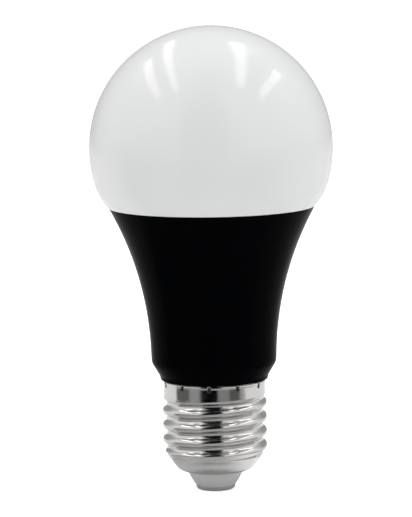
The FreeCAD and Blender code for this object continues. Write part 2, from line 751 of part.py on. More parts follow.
def board_screws():
    """Two pan-head screws that hold the LED board to the heat sink."""
    screws = []
    head_edge = rz(SCREW_HEAD_R, 0)
    head_flat = rz(SCREW_HEAD_FLAT_R, SCREW_HEAD_HEIGHT)
    head_middle = (head_edge + head_flat) * 0.5 + rz(SCREW_HEAD_BULGE, SCREW_HEAD_BULGE)
    for place in screw_places():
        seat = place + rz(0, LED_BOARD_TOP_Z)
        head = turned(rz(0, 0), head_edge, (head_middle, head_flat), rz(0, SCREW_HEAD_HEIGHT))
        head.translate(seat)
        shank = rod(SCREW_R, seat, seat - rz(0, SCREW_LENGTH))
        screw = fused([head, shank])
        half = SCREW_SLOT_WIDTH / 2
        slot_low = seat + rz(0, SCREW_HEAD_HEIGHT - SCREW_SLOT_DEPTH)
        slot_high = seat + rz(0, SCREW_HEAD_HEIGHT + 1)
        for reach in (Vec(SCREW_SLOT_REACH, half, 0), Vec(half, SCREW_SLOT_REACH, 0)):
            screw = screw.cut(box(slot_low - reach, slot_high + reach))
        screws.append(screw)
    return Part.makeCompound(screws)


# Output pins


def pin_paths():
    """Route of each output pin: through the driver board, then straight up."""
    start_y = BOARD_THICKNESS / 2 + LEAD_PAST_BOARD
    paths = []
    for x in (-PIN_PITCH / 2, PIN_PITCH / 2):
        paths.append([
            Vec(x, start_y, PIN_TURN_Z),
            Vec(x, PIN_Y, PIN_TURN_Z),
            Vec(x, PIN_Y, SOCKET_TOP_Z + PIN_ABOVE_SOCKET),
        ])
    return paths


def output_pins():
    """Two bent pins that carry the driver's output up to the LED board."""
    return Part.makeCompound([wire(path, PIN_R, PIN_BEND_R) for path in pin_paths()])


def pin_block():
    """Insulating block that holds the two pins on the driver board."""
    face = -BOARD_THICKNESS / 2
    block = box(
        Vec(-PIN_BLOCK[0] / 2, face - PIN_BLOCK[1], PIN_BLOCK_Z),
        Vec(PIN_BLOCK[0] / 2, face, PIN_BLOCK_Z + PIN_BLOCK[2]),
    )
    for path in pin_paths():
        block = block.cut(wire(path, PIN_R + PIN_BLOCK_CLEARANCE, PIN_BEND_R))
    return block


def led_socket():
    """Two-way socket on the LED board that the pins rise through."""
    socket = box(
        Vec(-SOCKET[0] / 2, PIN_Y - SOCKET[1] / 2, LED_BOARD_TOP_Z),
        Vec(SOCKET[0] / 2, PIN_Y + SOCKET[1] / 2, SOCKET_TOP_Z),
    )
    socket = socket.makeChamfer(SOCKET_EDGE, level_edges(socket, SOCKET_TOP_Z))
    for x in (-PIN_PITCH / 2, PIN_PITCH / 2):
        socket = socket.cut(rod(PIN_HOLE_R, Vec(x, PIN_Y, LEDGE_Z), Vec(x, PIN_Y, SOCKET_TOP_Z + 1)))
    return socket


# Driver board and what it carries


def on_tongue(place):
    """A place as (across, height), measured up from the tongue's end."""
    return place[0], TONGUE_END_Z + place[1]


def on_wide_part(place):
    """A place as (across, height), measured up from the housing's floor."""
    return place[0], FLOOR_Z + place[1]


def on_board(place, out=0.0, side=-1):
    """Point over the driver board: side -1 is the front, out is the distance from that face."""
    return Vec(place[0], side * (BOARD_THICKNESS / 2 + out), place[1])


def can_leads(place):
    """Where the two leads of a can at this place pass through the board."""
    across, z = place
    half = CAN_LEAD_PITCH / 2
    return [(across - half, z - CAN_LEAD_DROP), (across + half, z - CAN_LEAD_DROP)]


def fuse_leads():
    """Where the fuse resistor's two leads pass through the board."""
    across, z = on_wide_part(FUSE_AT)
    reach = FUSE_LENGTH / 2 + FUSE_LEAD_REACH
    return [(across, z - reach), (across, z + reach)]


def lead_points():
    """Where every lead, pin and wire passes through the driver board."""
    points = can_leads(on_tongue(INPUT_CAN_ON_TONGUE)) + can_leads(on_wide_part(OUTPUT_CAN_AT))
    points += fuse_leads() + choke_leads() + inductor_leads()
    points += [on_tongue(LIVE_HOLE_ON_TONGUE), on_tongue(NEUTRAL_HOLE_ON_TONGUE)]
    points += [(-PIN_PITCH / 2, PIN_TURN_Z), (PIN_PITCH / 2, PIN_TURN_Z)]
    return points


def driver_board():
    """Upright board: a narrow tongue in the neck's rails and a wide part in the housing."""
    half = BOARD_THICKNESS / 2
    shoulder_z = FLOOR_Z + BOARD_FLOOR_GAP
    wide = box(Vec(-BOARD_WIDTH / 2, -half, shoulder_z), Vec(BOARD_WIDTH / 2, half, BOARD_TOP_Z))
    tongue = box(Vec(-TONGUE_HALF, -half, TONGUE_END_Z), Vec(TONGUE_HALF, half, shoulder_z + 1))
    board = fused([wide, tongue])
    holes = [rod(LEAD_HOLE_R, on_board(p, 1), on_board(p, 1, 1)) for p in lead_points()]
    return board.cut(Part.makeCompound(holes))


def electrolytic(radius, length, place):
    """Aluminium can standing over the board, crimped near its foot, with two bent leads."""
    in_corner = CORNER * CAN_EDGE_R
    crimp_top = CAN_CRIMP_LOW + CAN_CRIMP_HEIGHT
    can = turned(
        rz(0, 0),
        rz(radius - CAN_EDGE_R, 0),
        (rz(radius - in_corner, in_corner), rz(radius, CAN_EDGE_R)),
        rz(radius, CAN_CRIMP_LOW),
        (rz(radius - CAN_EDGE_R, (CAN_CRIMP_LOW + crimp_top) / 2), rz(radius, crimp_top)),
        rz(radius, length - CAN_EDGE_R),
        (rz(radius - in_corner, length - in_corner), rz(radius - CAN_EDGE_R, length)),
        rz(0, length),
    )
    foot = on_board(place, CAN_GAP + radius)
    can.translate(foot)
    solids = [can]
    for across, z in can_leads(place):
        top = Vec(across, foot.y, foot.z + LEAD_BEND_R)
        corner = Vec(across, foot.y, z)
        tip = on_board((across, z), LEAD_PAST_BOARD, 1)
        solids.append(wire([top, corner, tip], LEAD_R, LEAD_BEND_R))
    return fused(solids)


def fuse_resistor():
    """Axial fusible resistor with swollen ends, on two bent leads."""
    middle = on_board(on_wide_part(FUSE_AT), CAN_GAP + FUSE_R)
    half = FUSE_LENGTH / 2
    waist_end = half - FUSE_END_LENGTH
    bulge_at = half - FUSE_END_LENGTH / 2
    body = turned(
        rz(0, -half),
        rz(FUSE_WAIST_R, -half),
        (rz(FUSE_R, -bulge_at), rz(FUSE_WAIST_R, -waist_end)),
        rz(FUSE_WAIST_R, waist_end),
        (rz(FUSE_R, bulge_at), rz(FUSE_WAIST_R, half)),
        rz(0, half),
    )
    body.translate(middle)
    solids = [body]
    for place in fuse_leads():
        corner = Vec(middle.x, middle.y, place[1])
        tip = on_board(place, LEAD_PAST_BOARD, 1)
        solids.append(wire([middle, corner, tip], LEAD_R, LEAD_BEND_R))
    return fused(solids)


def facing_front(shape, place, out):
    """Turns a part built along +Z to stand out of the board's front face at a place."""
    shape.rotate(Vec(), Vec(1, 0, 0), 90)
    shape.translate(on_board(place, out))
    return shape


def choke_leads():
    """Where the choke's two leads pass through the board."""
    across, z = on_wide_part(CHOKE_AT)
    reach = CHOKE_FLANGE_R - 2 * LEAD_R
    return [(across - reach, z), (across + reach, z)]


def choke_core():
    """Ferrite drum with a flange at each end, and its two lead pins."""
    low = CHOKE_FLANGE
    high = CHOKE_HEIGHT - CHOKE_FLANGE
    drum = turned(
        rz(0, 0),
        rz(CHOKE_FLANGE_R, 0),
        rz(CHOKE_FLANGE_R, low),
        rz(CHOKE_CORE_R, low),
        rz(CHOKE_CORE_R, high),
        rz(CHOKE_FLANGE_R, high),
        rz(CHOKE_FLANGE_R, CHOKE_HEIGHT),
        rz(0, CHOKE_HEIGHT),
    )
    solids = [facing_front(drum, on_wide_part(CHOKE_AT), CAN_GAP)]
    for place in choke_leads():
        top = on_board(place, CAN_GAP + CHOKE_FLANGE / 2)
        solids.append(rod(LEAD_R, top, on_board(place, LEAD_PAST_BOARD, 1)))
    return fused(solids)


def choke_winding():
    """Copper winding round the drum, a little fuller at its middle."""
    low = CHOKE_FLANGE + BOBBIN_CLEARANCE
    high = CHOKE_HEIGHT - CHOKE_FLANGE - BOBBIN_CLEARANCE
    inner = CHOKE_CORE_R + BOBBIN_CLEARANCE
    end_r = CHOKE_WINDING_R - CHOKE_CROWN
    crown = (rz(CHOKE_WINDING_R, (low + high) / 2), rz(end_r, high))
    coil = turned(rz(inner, low), rz(end_r, low), crown, rz(inner, high))
    return facing_front(coil, on_wide_part(CHOKE_AT), CAN_GAP)


def bobbin_sizes():
    """Half sizes of the bobbin's tube and flanges, and the height of its centre over the board."""
    hole = Vec(CORE_POST / 2 + BOBBIN_CLEARANCE, CORE_DEPTH / 2 + BOBBIN_CLEARANCE, 0)
    tube = hole + Vec(BOBBIN_WALL, BOBBIN_WALL, CORE_HALF_HEIGHT - CORE_BACK - BOBBIN_CLEARANCE)
    window = CORE_WIDTH / 2 - CORE_LEG - BOBBIN_CLEARANCE
    flange = Vec(window, CORE_DEPTH / 2 + window - CORE_POST / 2, tube.z)
    return hole, tube, flange, flange.y + CAN_GAP


def centred_box(half, centre):
    """A box from its half sizes and its middle."""
    return box(centre - half, centre + half)


def inductor_centre():
    """Middle of the inductor's core."""
    return on_board(on_wide_part(INDUCTOR_AT), bobbin_sizes()[3])


def inductor_leads():
    """Where the inductor's four pins pass through the board."""
    _, tube, flange, _ = bobbin_sizes()
    across, z = on_wide_part(INDUCTOR_AT)
    reach = flange.x - 2 * LEAD_R
    level = tube.z - BOBBIN_FLANGE / 2
    return [(across + i * reach, z + j * level) for i in (-1, 1) for j in (-1, 1)]


def inductor_core():
    """Two ferrite E halves that meet in the middle."""
    half_w = CORE_WIDTH / 2
    back = CORE_HALF_HEIGHT - CORE_BACK
    post = CORE_POST / 2
    steps = [(-half_w, CORE_HALF_HEIGHT), (half_w, CORE_HALF_HEIGHT), (half_w, 0), (half_w - CORE_LEG, 0)]
    steps += [(half_w - CORE_LEG, back), (post, back), (post, 0), (-post, 0), (-post, back)]
    steps += [(CORE_LEG - half_w, back), (CORE_LEG - half_w, 0), (-half_w, 0)]
    corners = [Vec(x, -CORE_DEPTH / 2, z) for x, z in steps]
    face = Part.Face(Part.makePolygon(corners + corners[:1]))
    upper = face.extrude(Vec(0, CORE_DEPTH, 0))
    lower = upper.rotated(Vec(), Vec(0, 1, 0), 180)
    halves = Part.makeCompound([upper, lower])
    halves.translate(inductor_centre())
    return halves


def inductor_bobbin():
    """Moulded bobbin: a square tube with a flange at each end that stands on the board."""
    hole, tube, flange, centre_out = bobbin_sizes()
    centre = inductor_centre()
    solids = [centred_box(tube, centre)]
    for side in (-1, 1):
        level = side * (tube.z - BOBBIN_FLANGE / 2)
        plate = Vec(flange.x, flange.y, BOBBIN_FLANGE / 2)
        solids.append(centred_box(plate, centre + rz(0, level)))
        foot = Vec(flange.x, CAN_GAP, BOBBIN_FLANGE / 2)
        solids.append(centred_box(foot, centre + Vec(0, centre_out - CAN_GAP, level)))
    bobbin = fused(solids).cut(centred_box(Vec(hole.x, hole.y, tube.z + 1), centre))
    for place in inductor_leads():
        hole_end = on_board(place, BOBBIN_PIN_DEPTH)
        bobbin = bobbin.cut(rod(BOBBIN_PIN_R + STEM_CLEARANCE, on_board(place), hole_end))
    return bobbin


def inductor_pins():
    """Four pins pressed into the bobbin's feet."""
    pins = []
    for place in inductor_leads():
        top = on_board(place, BOBBIN_PIN_DEPTH - STEM_CLEARANCE)
        pins.append(rod(BOBBIN_PIN_R, top, on_board(place, LEAD_PAST_BOARD, 1)))
    return Part.makeCompound(pins)


def inductor_winding():
    """Taped winding between the bobbin's flanges."""
    _, tube, flange, _ = bobbin_sizes()
    height = tube.z - BOBBIN_FLANGE - BOBBIN_CLEARANCE
    centre = inductor_centre()
    outer = Vec(flange.x - WINDING_MARGIN, flange.y - WINDING_MARGIN, height)
    coil = centred_box(outer, centre)
    uprights = [e for e in coil.Edges if e.BoundBox.ZLength > height]
    coil = coil.makeFillet(min(WINDING_EDGE_R, outer.x / 2), uprights)
    clear = Vec(BOBBIN_CLEARANCE, BOBBIN_CLEARANCE, 1)
    return coil.cut(centred_box(tube + clear, centre))


def legged_chip(size, place, legs_per_side):
    """Moulded chip on the board's back, with bent legs along its two long sides."""
    width, length, height = size
    centre = on_board(place, 0, 1)
    lift = LEG_THICKNESS
    body = box(
        centre + Vec(-width / 2, lift, -length / 2),
        centre + Vec(width / 2, lift + height, length / 2),
    )
    uprights = [e for e in body.Edges if e.BoundBox.ZLength > length / 2]
    far_edges = [e for e in uprights if e.CenterOfMass.y > centre.y + height]
    body = body.makeChamfer(height * CHIP_CHAMFER_SHARE, far_edges)
    leg_width = length / legs_per_side * LEG_WIDTH_SHARE
    solids = [body]
    for k in range(legs_per_side):
        z = centre.z + length * ((k + 0.5) / legs_per_side - 0.5)
        for side in (-1, 1):
            inner = side * width / 2
            outer = side * (width / 2 + LEG_REACH)
            knee = side * (width / 2 + LEG_THICKNESS)
            spans = [(inner - side * LEG_ROOT, knee, lift, height / 2 + lift), (inner, outer, 0, LEG_THICKNESS)]
            for a, b, low, high in spans:
                xs = sorted((a, b))
                solids.append(box(
                    Vec(centre.x + xs[0], centre.y + low, z - leg_width / 2),
                    Vec(centre.x + xs[1], centre.y + high, z + leg_width / 2),
                ))
    return fused(solids)


def end_capped(size, place):
    """Small surface part on the board's back, a little thicker at its two soldered ends."""
    width, length, height = size
    centre = on_board(place, 0, 1)
    body = box(
        centre + Vec(-width / 2, END_CAP_PROUD, -length / 2),
        centre + Vec(width / 2, height, length / 2),
    )
    cap = length * END_CAP_SHARE
    half = width / 2 + END_CAP_PROUD
    ends = []
    for side in (-1, 1):
        zs = sorted((side * length / 2, side * (length / 2 - cap)))
        ends.append(box(
            centre + Vec(-half, 0, zs[0]),
            centre + Vec(half, height + END_CAP_PROUD, zs[1]),
        ))
    return fused([body] + ends)


def chip_resistors():
    """The surface resistors on the board's back."""
    places = [on_wide_part(place) for place in CHIP_RESISTORS_AT]
    return Part.makeCompound([end_capped(CHIP_RESISTOR_SIZE, place) for place in places])


# Wires


def neutral_exit_z():
    """Height at which the neutral wire leaves through the neck's notch."""
    return NECK_END_Z + WIRE_R + 2 * NOTCH_MARGIN


def insulated(points, past_start, past_end):
    """Insulated wire with a bare conductor standing out of each end."""
    start = unit(points[0] - points[1])
    end = unit(points[-1] - points[-2])
    return fused([
        wire(points, WIRE_R, WIRE_BEND_R),
        rod(CONDUCTOR_R, points[0] - start * CONDUCTOR_ROOT, points[0] + start * past_start),
        rod(CONDUCTOR_R, points[-1] - end * CONDUCTOR_ROOT, points[-1] + end * past_end),
    ])


def live_wire():
    """From the contact's hollow stem up to the driver board."""
    start_z = FLANGE_TOP_Z + RIVET_HEAD_HEIGHT + LIVE_ABOVE_RIVET
    hole = on_tongue(LIVE_HOLE_ON_TONGUE)
    tip = on_board(hole, WIRE_END_GAP, 1)
    loop = Vec(tip.x, LIVE_LOOP, tip.z)
    low = Vec(tip.x, LIVE_LOOP, TONGUE_END_Z + LIVE_TURN_ABOVE_END)
    points = [rz(0, start_z), rz(0, start_z + LIVE_RISE), low, loop, tip]
    return insulated(points, WIRE_BARE, BOARD_THICKNESS + LEAD_PAST_BOARD)


def neutral_wire():
    """From the driver board out through the neck's notch to the screw shell."""
    across = NEUTRAL_HOLE_ON_TONGUE[0]
    tip = on_board(on_tongue(NEUTRAL_HOLE_ON_TONGUE), WIRE_END_GAP, 1)
    exit_z = neutral_exit_z()
    loop = Vec(across, NEUTRAL_LOOP, tip.z)
    down = Vec(across, NEUTRAL_LOOP, exit_z)
    shell_r = cap_radius(atan2(THREAD_ROOT_R, across), exit_z, CAP_WALL)
    end_y = sqrt(shell_r**2 - across**2) - 2 * CAP_CLEARANCE
    points = [tip, loop, down, Vec(across, end_y - WIRE_BARE, exit_z)]
    return insulated(points, BOARD_THICKNESS + LEAD_PAST_BOARD, WIRE_BARE)


def main():
    """Builds every piece and writes each one to its own file."""
    nodes = {
        "diffuser": diffuser(),
        "seal_ring": seal_ring(),
        "housing": housing(),
        "screw_shell": screw_shell(),
        "base_insulator": base_insulator(),
        "centre_contact": centre_contact(),
        "heat_sink": heat_sink(),
        "led_board": led_board(),
        "board_screws": board_screws(),
        "led_socket": led_socket(),
        "output_pins": output_pins(),
        "pin_block": pin_block(),
        "driver_board": driver_board(),
        "input_capacitor": electrolytic(INPUT_CAN_R, INPUT_CAN_LENGTH, on_tongue(INPUT_CAN_ON_TONGUE)),
        "output_capacitor": electrolytic(OUTPUT_CAN_R, OUTPUT_CAN_LENGTH, on_wide_part(OUTPUT_CAN_AT)),
        "fuse_resistor": fuse_resistor(),
        "choke_core": choke_core(),
        "choke_winding": choke_winding(),
        "inductor_core": inductor_core(),
        "inductor_bobbin": inductor_bobbin(),
        "inductor_pins": inductor_pins(),
        "inductor_winding": inductor_winding(),
        "bridge_rectifier": legged_chip(BRIDGE_SIZE, on_wide_part(BRIDGE_AT), 2),
        "driver_chip": legged_chip(CHIP_SIZE, on_wide_part(CHIP_AT), 4),
        "output_diode": legged_chip(DIODE_SIZE, on_wide_part(DIODE_AT), 1),
        "chip_resistors": chip_resistors(),
        "chip_capacitor": end_capped(CHIP_CAPACITOR_SIZE, on_wide_part(CHIP_CAPACITOR_AT)),
        "live_wire": live_wire(),
        "neutral_wire": neutral_wire(),
    }
    for number, package in enumerate(led_packages(), 1):
        nodes[f"led_package_{number:02d}"] = package
    os.makedirs("parts", exist_ok=True)
    for name, shape in nodes.items():
        shape.exportStep(f"parts/{name}.step")
        box_size = shape.BoundBox
        print(
            f"{name}: {len(shape.Solids)} solid(s), valid {shape.isValid()}, {shape.Volume:.1f} mm3,"
            f" z {box_size.ZMin:.2f} to {box_size.ZMax:.2f}"
        )


if __name__ == "__main__":
    main()
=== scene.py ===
"""LED bulb with a screw cap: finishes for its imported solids, its small soldered parts, and the studio."""

from math import atan2, cos, hypot, pi, radians, sin

import bpy
from bpy.props import FloatProperty, FloatVectorProperty, IntProperty, PointerProperty
from bpy.types import Operator, Panel, PropertyGroup
from mathutils import Matrix, Vector


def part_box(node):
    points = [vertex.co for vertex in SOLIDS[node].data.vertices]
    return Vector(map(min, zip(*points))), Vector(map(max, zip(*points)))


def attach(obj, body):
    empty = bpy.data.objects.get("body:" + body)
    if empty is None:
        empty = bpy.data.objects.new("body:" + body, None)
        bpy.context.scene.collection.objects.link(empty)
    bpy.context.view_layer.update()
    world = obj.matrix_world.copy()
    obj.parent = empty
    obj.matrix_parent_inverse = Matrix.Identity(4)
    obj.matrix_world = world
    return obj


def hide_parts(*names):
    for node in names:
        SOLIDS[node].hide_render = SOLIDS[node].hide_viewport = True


bl_info = {
    "name": "LED Bulb Workshop",
    "version": (1, 0, 0),
    "blender": (4, 5, 0),
    "location": "3D View > Sidebar > LED Bulb",
    "description": "Finishes and small parts of an LED bulb with a screw cap",
    "category": "Object",
}

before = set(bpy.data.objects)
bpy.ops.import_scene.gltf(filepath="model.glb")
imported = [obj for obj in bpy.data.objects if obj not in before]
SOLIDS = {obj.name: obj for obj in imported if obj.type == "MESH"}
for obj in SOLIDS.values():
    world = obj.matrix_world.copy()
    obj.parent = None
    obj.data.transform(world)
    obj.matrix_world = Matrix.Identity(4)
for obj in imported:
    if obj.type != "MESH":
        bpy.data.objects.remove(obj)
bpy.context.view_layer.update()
MM = 0.001
MICRON = 0.000001

# The bulb's sizes and places are in millimetres. First come the faces that new pieces sit on.
LED_BOARD_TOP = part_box("led_board")[1].z / MM
PACKAGE_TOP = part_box("led_package_01")[1].z / MM
BOARD_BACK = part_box("driver_board")[1].y / MM

# LED board: the packages' number, first angle and half length, the copper ring's half width, and the solder
# at a package's end with the edge that slopes down to the board
LED_COUNT = 12
FIRST_LED_ANGLE = 15.0
PACKAGE_HALF = 1.75
TRACK_HALF = 2.6
FILLET_SIZE = (0.42, 2.3, 0.4)
FILLET_EDGE = 0.3
FILLET_DROP = 0.32

# Marks that stake the shell to the neck: round below their height, narrower above it, and dull, with painted
# shade that darkens each dent and the streak above it
STAKE_COUNT = 11
FIRST_STAKE_ANGLE = -96.2
STAKE_RADIUS = 12.73
STAKE_HEIGHT = 26.85
STAKE_SIZE = 0.55
STAKE_TAPER = 0.42
STAKE_BLUR = 0.16
STAKE_PAINTED_SHADE = -0.92
STAKE_ROUGHNESS = 0.45

# Driver board: places across and up of its joints and chips, the ceramic chips' sizes, and half the width of
# each moulded chip without its legs
JOINT_PLACES = (
    (-1.75, 14.1), (1.75, 14.1), (5.15, 45.55), (8.65, 45.55), (3.8, 32.05), (3.8, 44.85),
    (-7.4, 37.95), (-1.8, 37.95), (-7.2, 48.3), (-7.2, 54.6), (-1.2, 48.3), (-1.2, 54.6),
    (-4.5, 16.4), (4.0, 16.4), (-1.27, 62.75), (1.27, 62.75),
)
CHIP_RESISTOR_PLACES = ((0.6, 39.95), (1.6, 49.35), (4.4, 49.35), (-8.4, 48.75), (-1.4, 58.55))
CHIP_CAPACITOR_PLACE = (-5.4, 58.55)
CHIP_RESISTOR_SIZE = (1.6, 3.2, 0.55)
CHIP_CAPACITOR_SIZE = (1.6, 3.2, 1.2)
MOULDED_CHIPS = (("bridge_rectifier", 1.95), ("driver_chip", 1.95), ("output_diode", 1.3))

# Choke: radius under the wire, how far the coil swells at its middle, and the steps up one turn
CHOKE_INNER_R = 1.8
CHOKE_SWELL = 0.25
TURN_STEPS = 8

# Cans: middle and foot of each, and the radii of a can and of its bare end
CANS = (
    ("input_capacitor", (0.0, -4.8, 0.0), 15.3),
    ("output_capacitor", (6.9, -4.8, 0.0), 46.75),
)
CAN_R = 4.04
CAN_END_R = 3.2

# Fuse resistor: middle, half its body's length, and the height and colour of each band
FUSE_MIDDLE = (3.8, 0, 38.45)
FUSE_HALF = 4.02
FUSE_BANDS = ((2.0, (0.5, 0.06, 0.02)), (0.7, (0.02, 0.02, 0.02)), (-0.6, (0.5, 0.32, 0.02)))

# Wires: colour, and the axis, place and side where the far end is bare
WIRES = (
    ("live_wire", (0.42, 0.012, 0.01), ("Z", 8.3, -1)),
    ("neutral_wire", (0.78, 0.78, 0.75), ("Y", 9.42, 1)),
)

# Colours that several finishes share
TIN = (0.66, 0.66, 0.65)
WHITE = (1, 1, 1)

# The studio's sizes and places are in metres. Cards lie on the floor and glow, and only shiny surfaces mirror
# them, so the cap mirrors a painted reflection at set levels in place of the floor and the shadow round it:
# reach from the bulb, angles from the front in degrees, and the levels at the card's left and right. One takes
# a share of its level from rings, by distance, which fade out to the left and right, and one takes it from
# turns, by angle.
CARD_HEIGHT = 0.0006
CARD_CUTS = 31
CORNER_CARD = (0.005, 0.0093)
UNDER_CARD = (0.0093, 0.02)
NEAR_CARD = (0.02, 0.09)
FAR_CARD = (0.09, 0.8)
UNDER_RINGS = (
    (0.0093, 0.41), (0.0104, 0.42), (0.01155, 0.84), (0.0126, 0.52), (0.014, 0.52), (0.018, 0.72),
    (0.02, 0.75),
)
RINGS_FADE = (0.004, 0.012)
FAR_TURNS = (
    (-96, 0.9), (-89, 0.145), (-60, 0.145), (-54, 0.35), (-35, 0.35), (-28, 0.0), (4, 0.0), (10, 0.27),
    (29, 0.27), (36, 0.11), (54, 0.11), (61, 0.42), (66, 0.42), (74, 0.9),
)
CARDS = (
    ("corner card", CORNER_CARD, -180, 180, 0.34, 0.34),
    ("card under the cap", UNDER_CARD, -180, 180, 0.46, 1.12, UNDER_RINGS),
    ("near card", NEAR_CARD, -95, 100, 0.35, 0.56),
    ("far card", FAR_CARD, -96, 74, 1.0, 1.0, (), FAR_TURNS),
)

# Strip lamps overhead: places across at the front and back ends, depths of those ends, width and radiance
STRIP_HEIGHT = 1.05
STRIPS = (
    ("far left strip", -0.93, -0.72, -0.38, 0.8, 0.13, 2.6),
    ("left strip", -0.54, -0.38, -0.45, 1.15, 0.1, 2.8),
    ("right strip", 0.45, 0.26, -0.42, 0.7, 0.14, 2.6),
    ("right back panel", 0.32, 0.36, 0.4, 0.75, 0.3, 0.6),
    ("far right strip", 0.92, 0.92, -0.4, 0.55, 0.15, 2.6),
)

# Soft lamps: place, size, power and the point that each looks at
LAMPS = (
    ("left window", (-0.75, -1.1, 0.45), (0.4, 0.8), 2.0, (0, 0, 0.03)),
    ("right window", (0.95, -1.0, 0.45), (0.4, 0.8), 2.0, (0, 0, 0.03)),
    ("left side", (-1.15, 0.35, 0.2), (0.5, 0.5), 1.0, (0, 0, 0.08)),
    ("right side", (1.15, 0.35, 0.2), (0.5, 0.5), 1.6, (0, 0, 0.08)),
)
FLOOR_SIZE = 14

# Angles of the dark part of the room in front, in radians, the height where the ceiling takes over, and the
# depth where the backdrop does
DARK_LEFT = (-0.62, -0.47)
DARK_RIGHT = (0.22, 0.36)
CEILING = (0.62, 0.82)
BACK_WALL = (0.35, 0.75)


def finish_colour(name, default, description):
    """A colour that a user can change."""
    return FloatVectorProperty(
        name=name, description=description, subtype="COLOR", size=3, min=0, max=1, default=default
    )


def finish_share(name, default, description):
    """A share from 0 to 1 that a user can change."""
    return FloatProperty(name=name, description=description, subtype="FACTOR", min=0, max=1, default=default)


def length_mm(name, default, description):
    """A length in millimetres that a user can change."""
    return FloatProperty(name=f"{name} (mm)", description=description, min=0, default=default)


class GlobeSettings(PropertyGroup):
    colour: finish_colour("Colour", (0.78, 0.785, 0.79), "Colour of the opal polycarbonate")
    roughness: finish_share("Roughness", 0.11, "Roughness of the satin surface")
    depth: length_mm("Milkiness", 1.0, "How far light spreads inside the wall")


class HousingSettings(PropertyGroup):
    colour: finish_colour("Colour", (0.001, 0.0012, 0.0016), "Colour of the black plastic")
    roughness: finish_share("Roughness", 0.22, "Roughness of the moulded surface")
    gloss: finish_share("Gloss", 0.008, "Strength of the plastic's reflections")


class CapSettings(PropertyGroup):
    nickel: finish_colour("Nickel", (0.64, 0.632, 0.617), "Colour of the plated shell")
    roughness: finish_share("Roughness", 0.11, "Roughness of the plating")
    insulator: finish_colour("Insulator", (0.57, 0.57, 0.58), "Colour of the base insulator")
    contact: finish_colour("Contact", (0.56, 0.56, 0.57), "Colour of the centre contact")


class LedSettings(PropertyGroup):
    board: finish_colour("Board", (0.86, 0.87, 0.85), "Colour of the white solder mask")
    phosphor: finish_colour("Phosphor", (0.9, 0.62, 0.08), "Colour of the phosphor resin")
    window_r: length_mm("Window radius", 1.09, "Radius of the resin at a package's top")
    dome: length_mm("Dome", 0.05, "How far the resin stands over a package")


class SolderSettings(PropertyGroup):
    colour: finish_colour("Colour", (0.68, 0.68, 0.67), "Colour of the solder")
    pad_r: length_mm("Pad radius", 0.95, "Radius of a joint where it meets the board")
    height: length_mm("Height", 0.7, "Height of a joint up its lead")


class CoilSettings(PropertyGroup):
    copper: finish_colour("Copper", (0.62, 0.23, 0.09), "Colour of the enamelled wire")
    turns: IntProperty(name="Turns", description="Turns that show on the choke", min=4, max=30, default=12)


class StudioSettings(PropertyGroup):
    distance: FloatProperty(
        name="Distance", description="Camera's distance from the bulb's axis", unit="LENGTH", default=0.6935
    )
    height: FloatProperty(name="Height", description="Camera's height", unit="LENGTH", default=0.1447)
    sideways: FloatProperty(
        name="Sideways", description="Camera's place across", unit="LENGTH", default=-0.00164
    )
    pitch: FloatProperty(
        name="Pitch", description="How far the camera looks down", subtype="ANGLE", default=radians(7.105)
    )
    roll: FloatProperty(
        name="Roll", description="How far the camera leans", subtype="ANGLE", default=radians(-0.834)
    )
    lens: FloatProperty(name="Lens", description="Focal length", unit="CAMERA", default=195.03)
    fill: finish_share("Fill", 0.5, "Strength of the room's own light")
    floor: finish_colour("Floor", (0.88, 0.88, 0.88), "Colour of the floor")
    glow: finish_share("Background glow", 0.65, "What the floor's white adds for the camera")
    backdrop: finish_share("Backdrop", 0.4, "What shiny surfaces mirror from behind the bulb")
    sides: FloatProperty(
        name="Sides", description="What shiny surfaces mirror from the sides", min=0, default=0.95
    )
    ceiling: finish_share("Ceiling", 0.45, "What shiny surfaces mirror from above")
    dark: finish_share("Dark front", 0.01, "What shiny surfaces mirror from behind the camera")
    overhead: FloatProperty(name="Overhead", description="Power of the soft lamp above", min=0, default=5.0)


SETTINGS = {
    "bulb_globe": GlobeSettings,
    "bulb_housing": HousingSettings,
    "bulb_cap": CapSettings,
    "bulb_leds": LedSettings,
    "bulb_solder": SolderSettings,
    "bulb_coils": CoilSettings,
    "bulb_studio": StudioSettings,
}


# Materials


def node(tree, kind, sockets=None, **settings):
    """Adds a node; a socket is given a value, or linked to another node's output."""
    made = tree.nodes.new(kind)
    for key, value in settings.items():
        setattr(made, key, value)
    for key, value in (sockets or {}).items():
        if isinstance(value, bpy.types.NodeSocket):
            tree.links.new(value, made.inputs[key])
        else:
            made.inputs[key].default_value = value
    return made


def opaque(colour):
    """Red, green, blue and a full alpha."""
    return (*colour, 1.0)


def stretched(tree, place, scale, centre=(0, 0, 0)):
    """Coordinates moved so that centre is the origin, then scaled along each axis."""
    moved = node(tree, "ShaderNodeVectorMath", {0: place, 1: centre}, operation="SUBTRACT").outputs[0]
    return node(tree, "ShaderNodeVectorMath", {0: moved, 1: scale}, operation="MULTIPLY").outputs[0]


def noise(tree, place, scale, detail):
    """Soft noise with this many features to the millimetre."""
    sockets = {"Vector": place, "Scale": scale, "Detail": detail}
    return node(tree, "ShaderNodeTexNoise", sockets).outputs["Fac"]


def ranged(tree, value, low, high, start=0.3, end=0.7):
    """Spreads a value between two limits."""
    sockets = {"Value": value, "From Min": start, "From Max": end, "To Min": low, "To Max": high}
    return node(tree, "ShaderNodeMapRange", sockets).outputs[0]


def maths(tree, operation, a, b=0.0):
    """One sum on two values."""
    return node(tree, "ShaderNodeMath", {0: a, 1: b}, operation=operation).outputs[0]


def blended(tree, factor, a, b):
    """Colour between a and b."""
    sockets = {0: factor, 6: a if isinstance(a, bpy.types.NodeSocket) else opaque(a)}
    sockets[7] = b if isinstance(b, bpy.types.NodeSocket) else opaque(b)
    return node(tree, "ShaderNodeMix", sockets, data_type="RGBA").outputs[2]


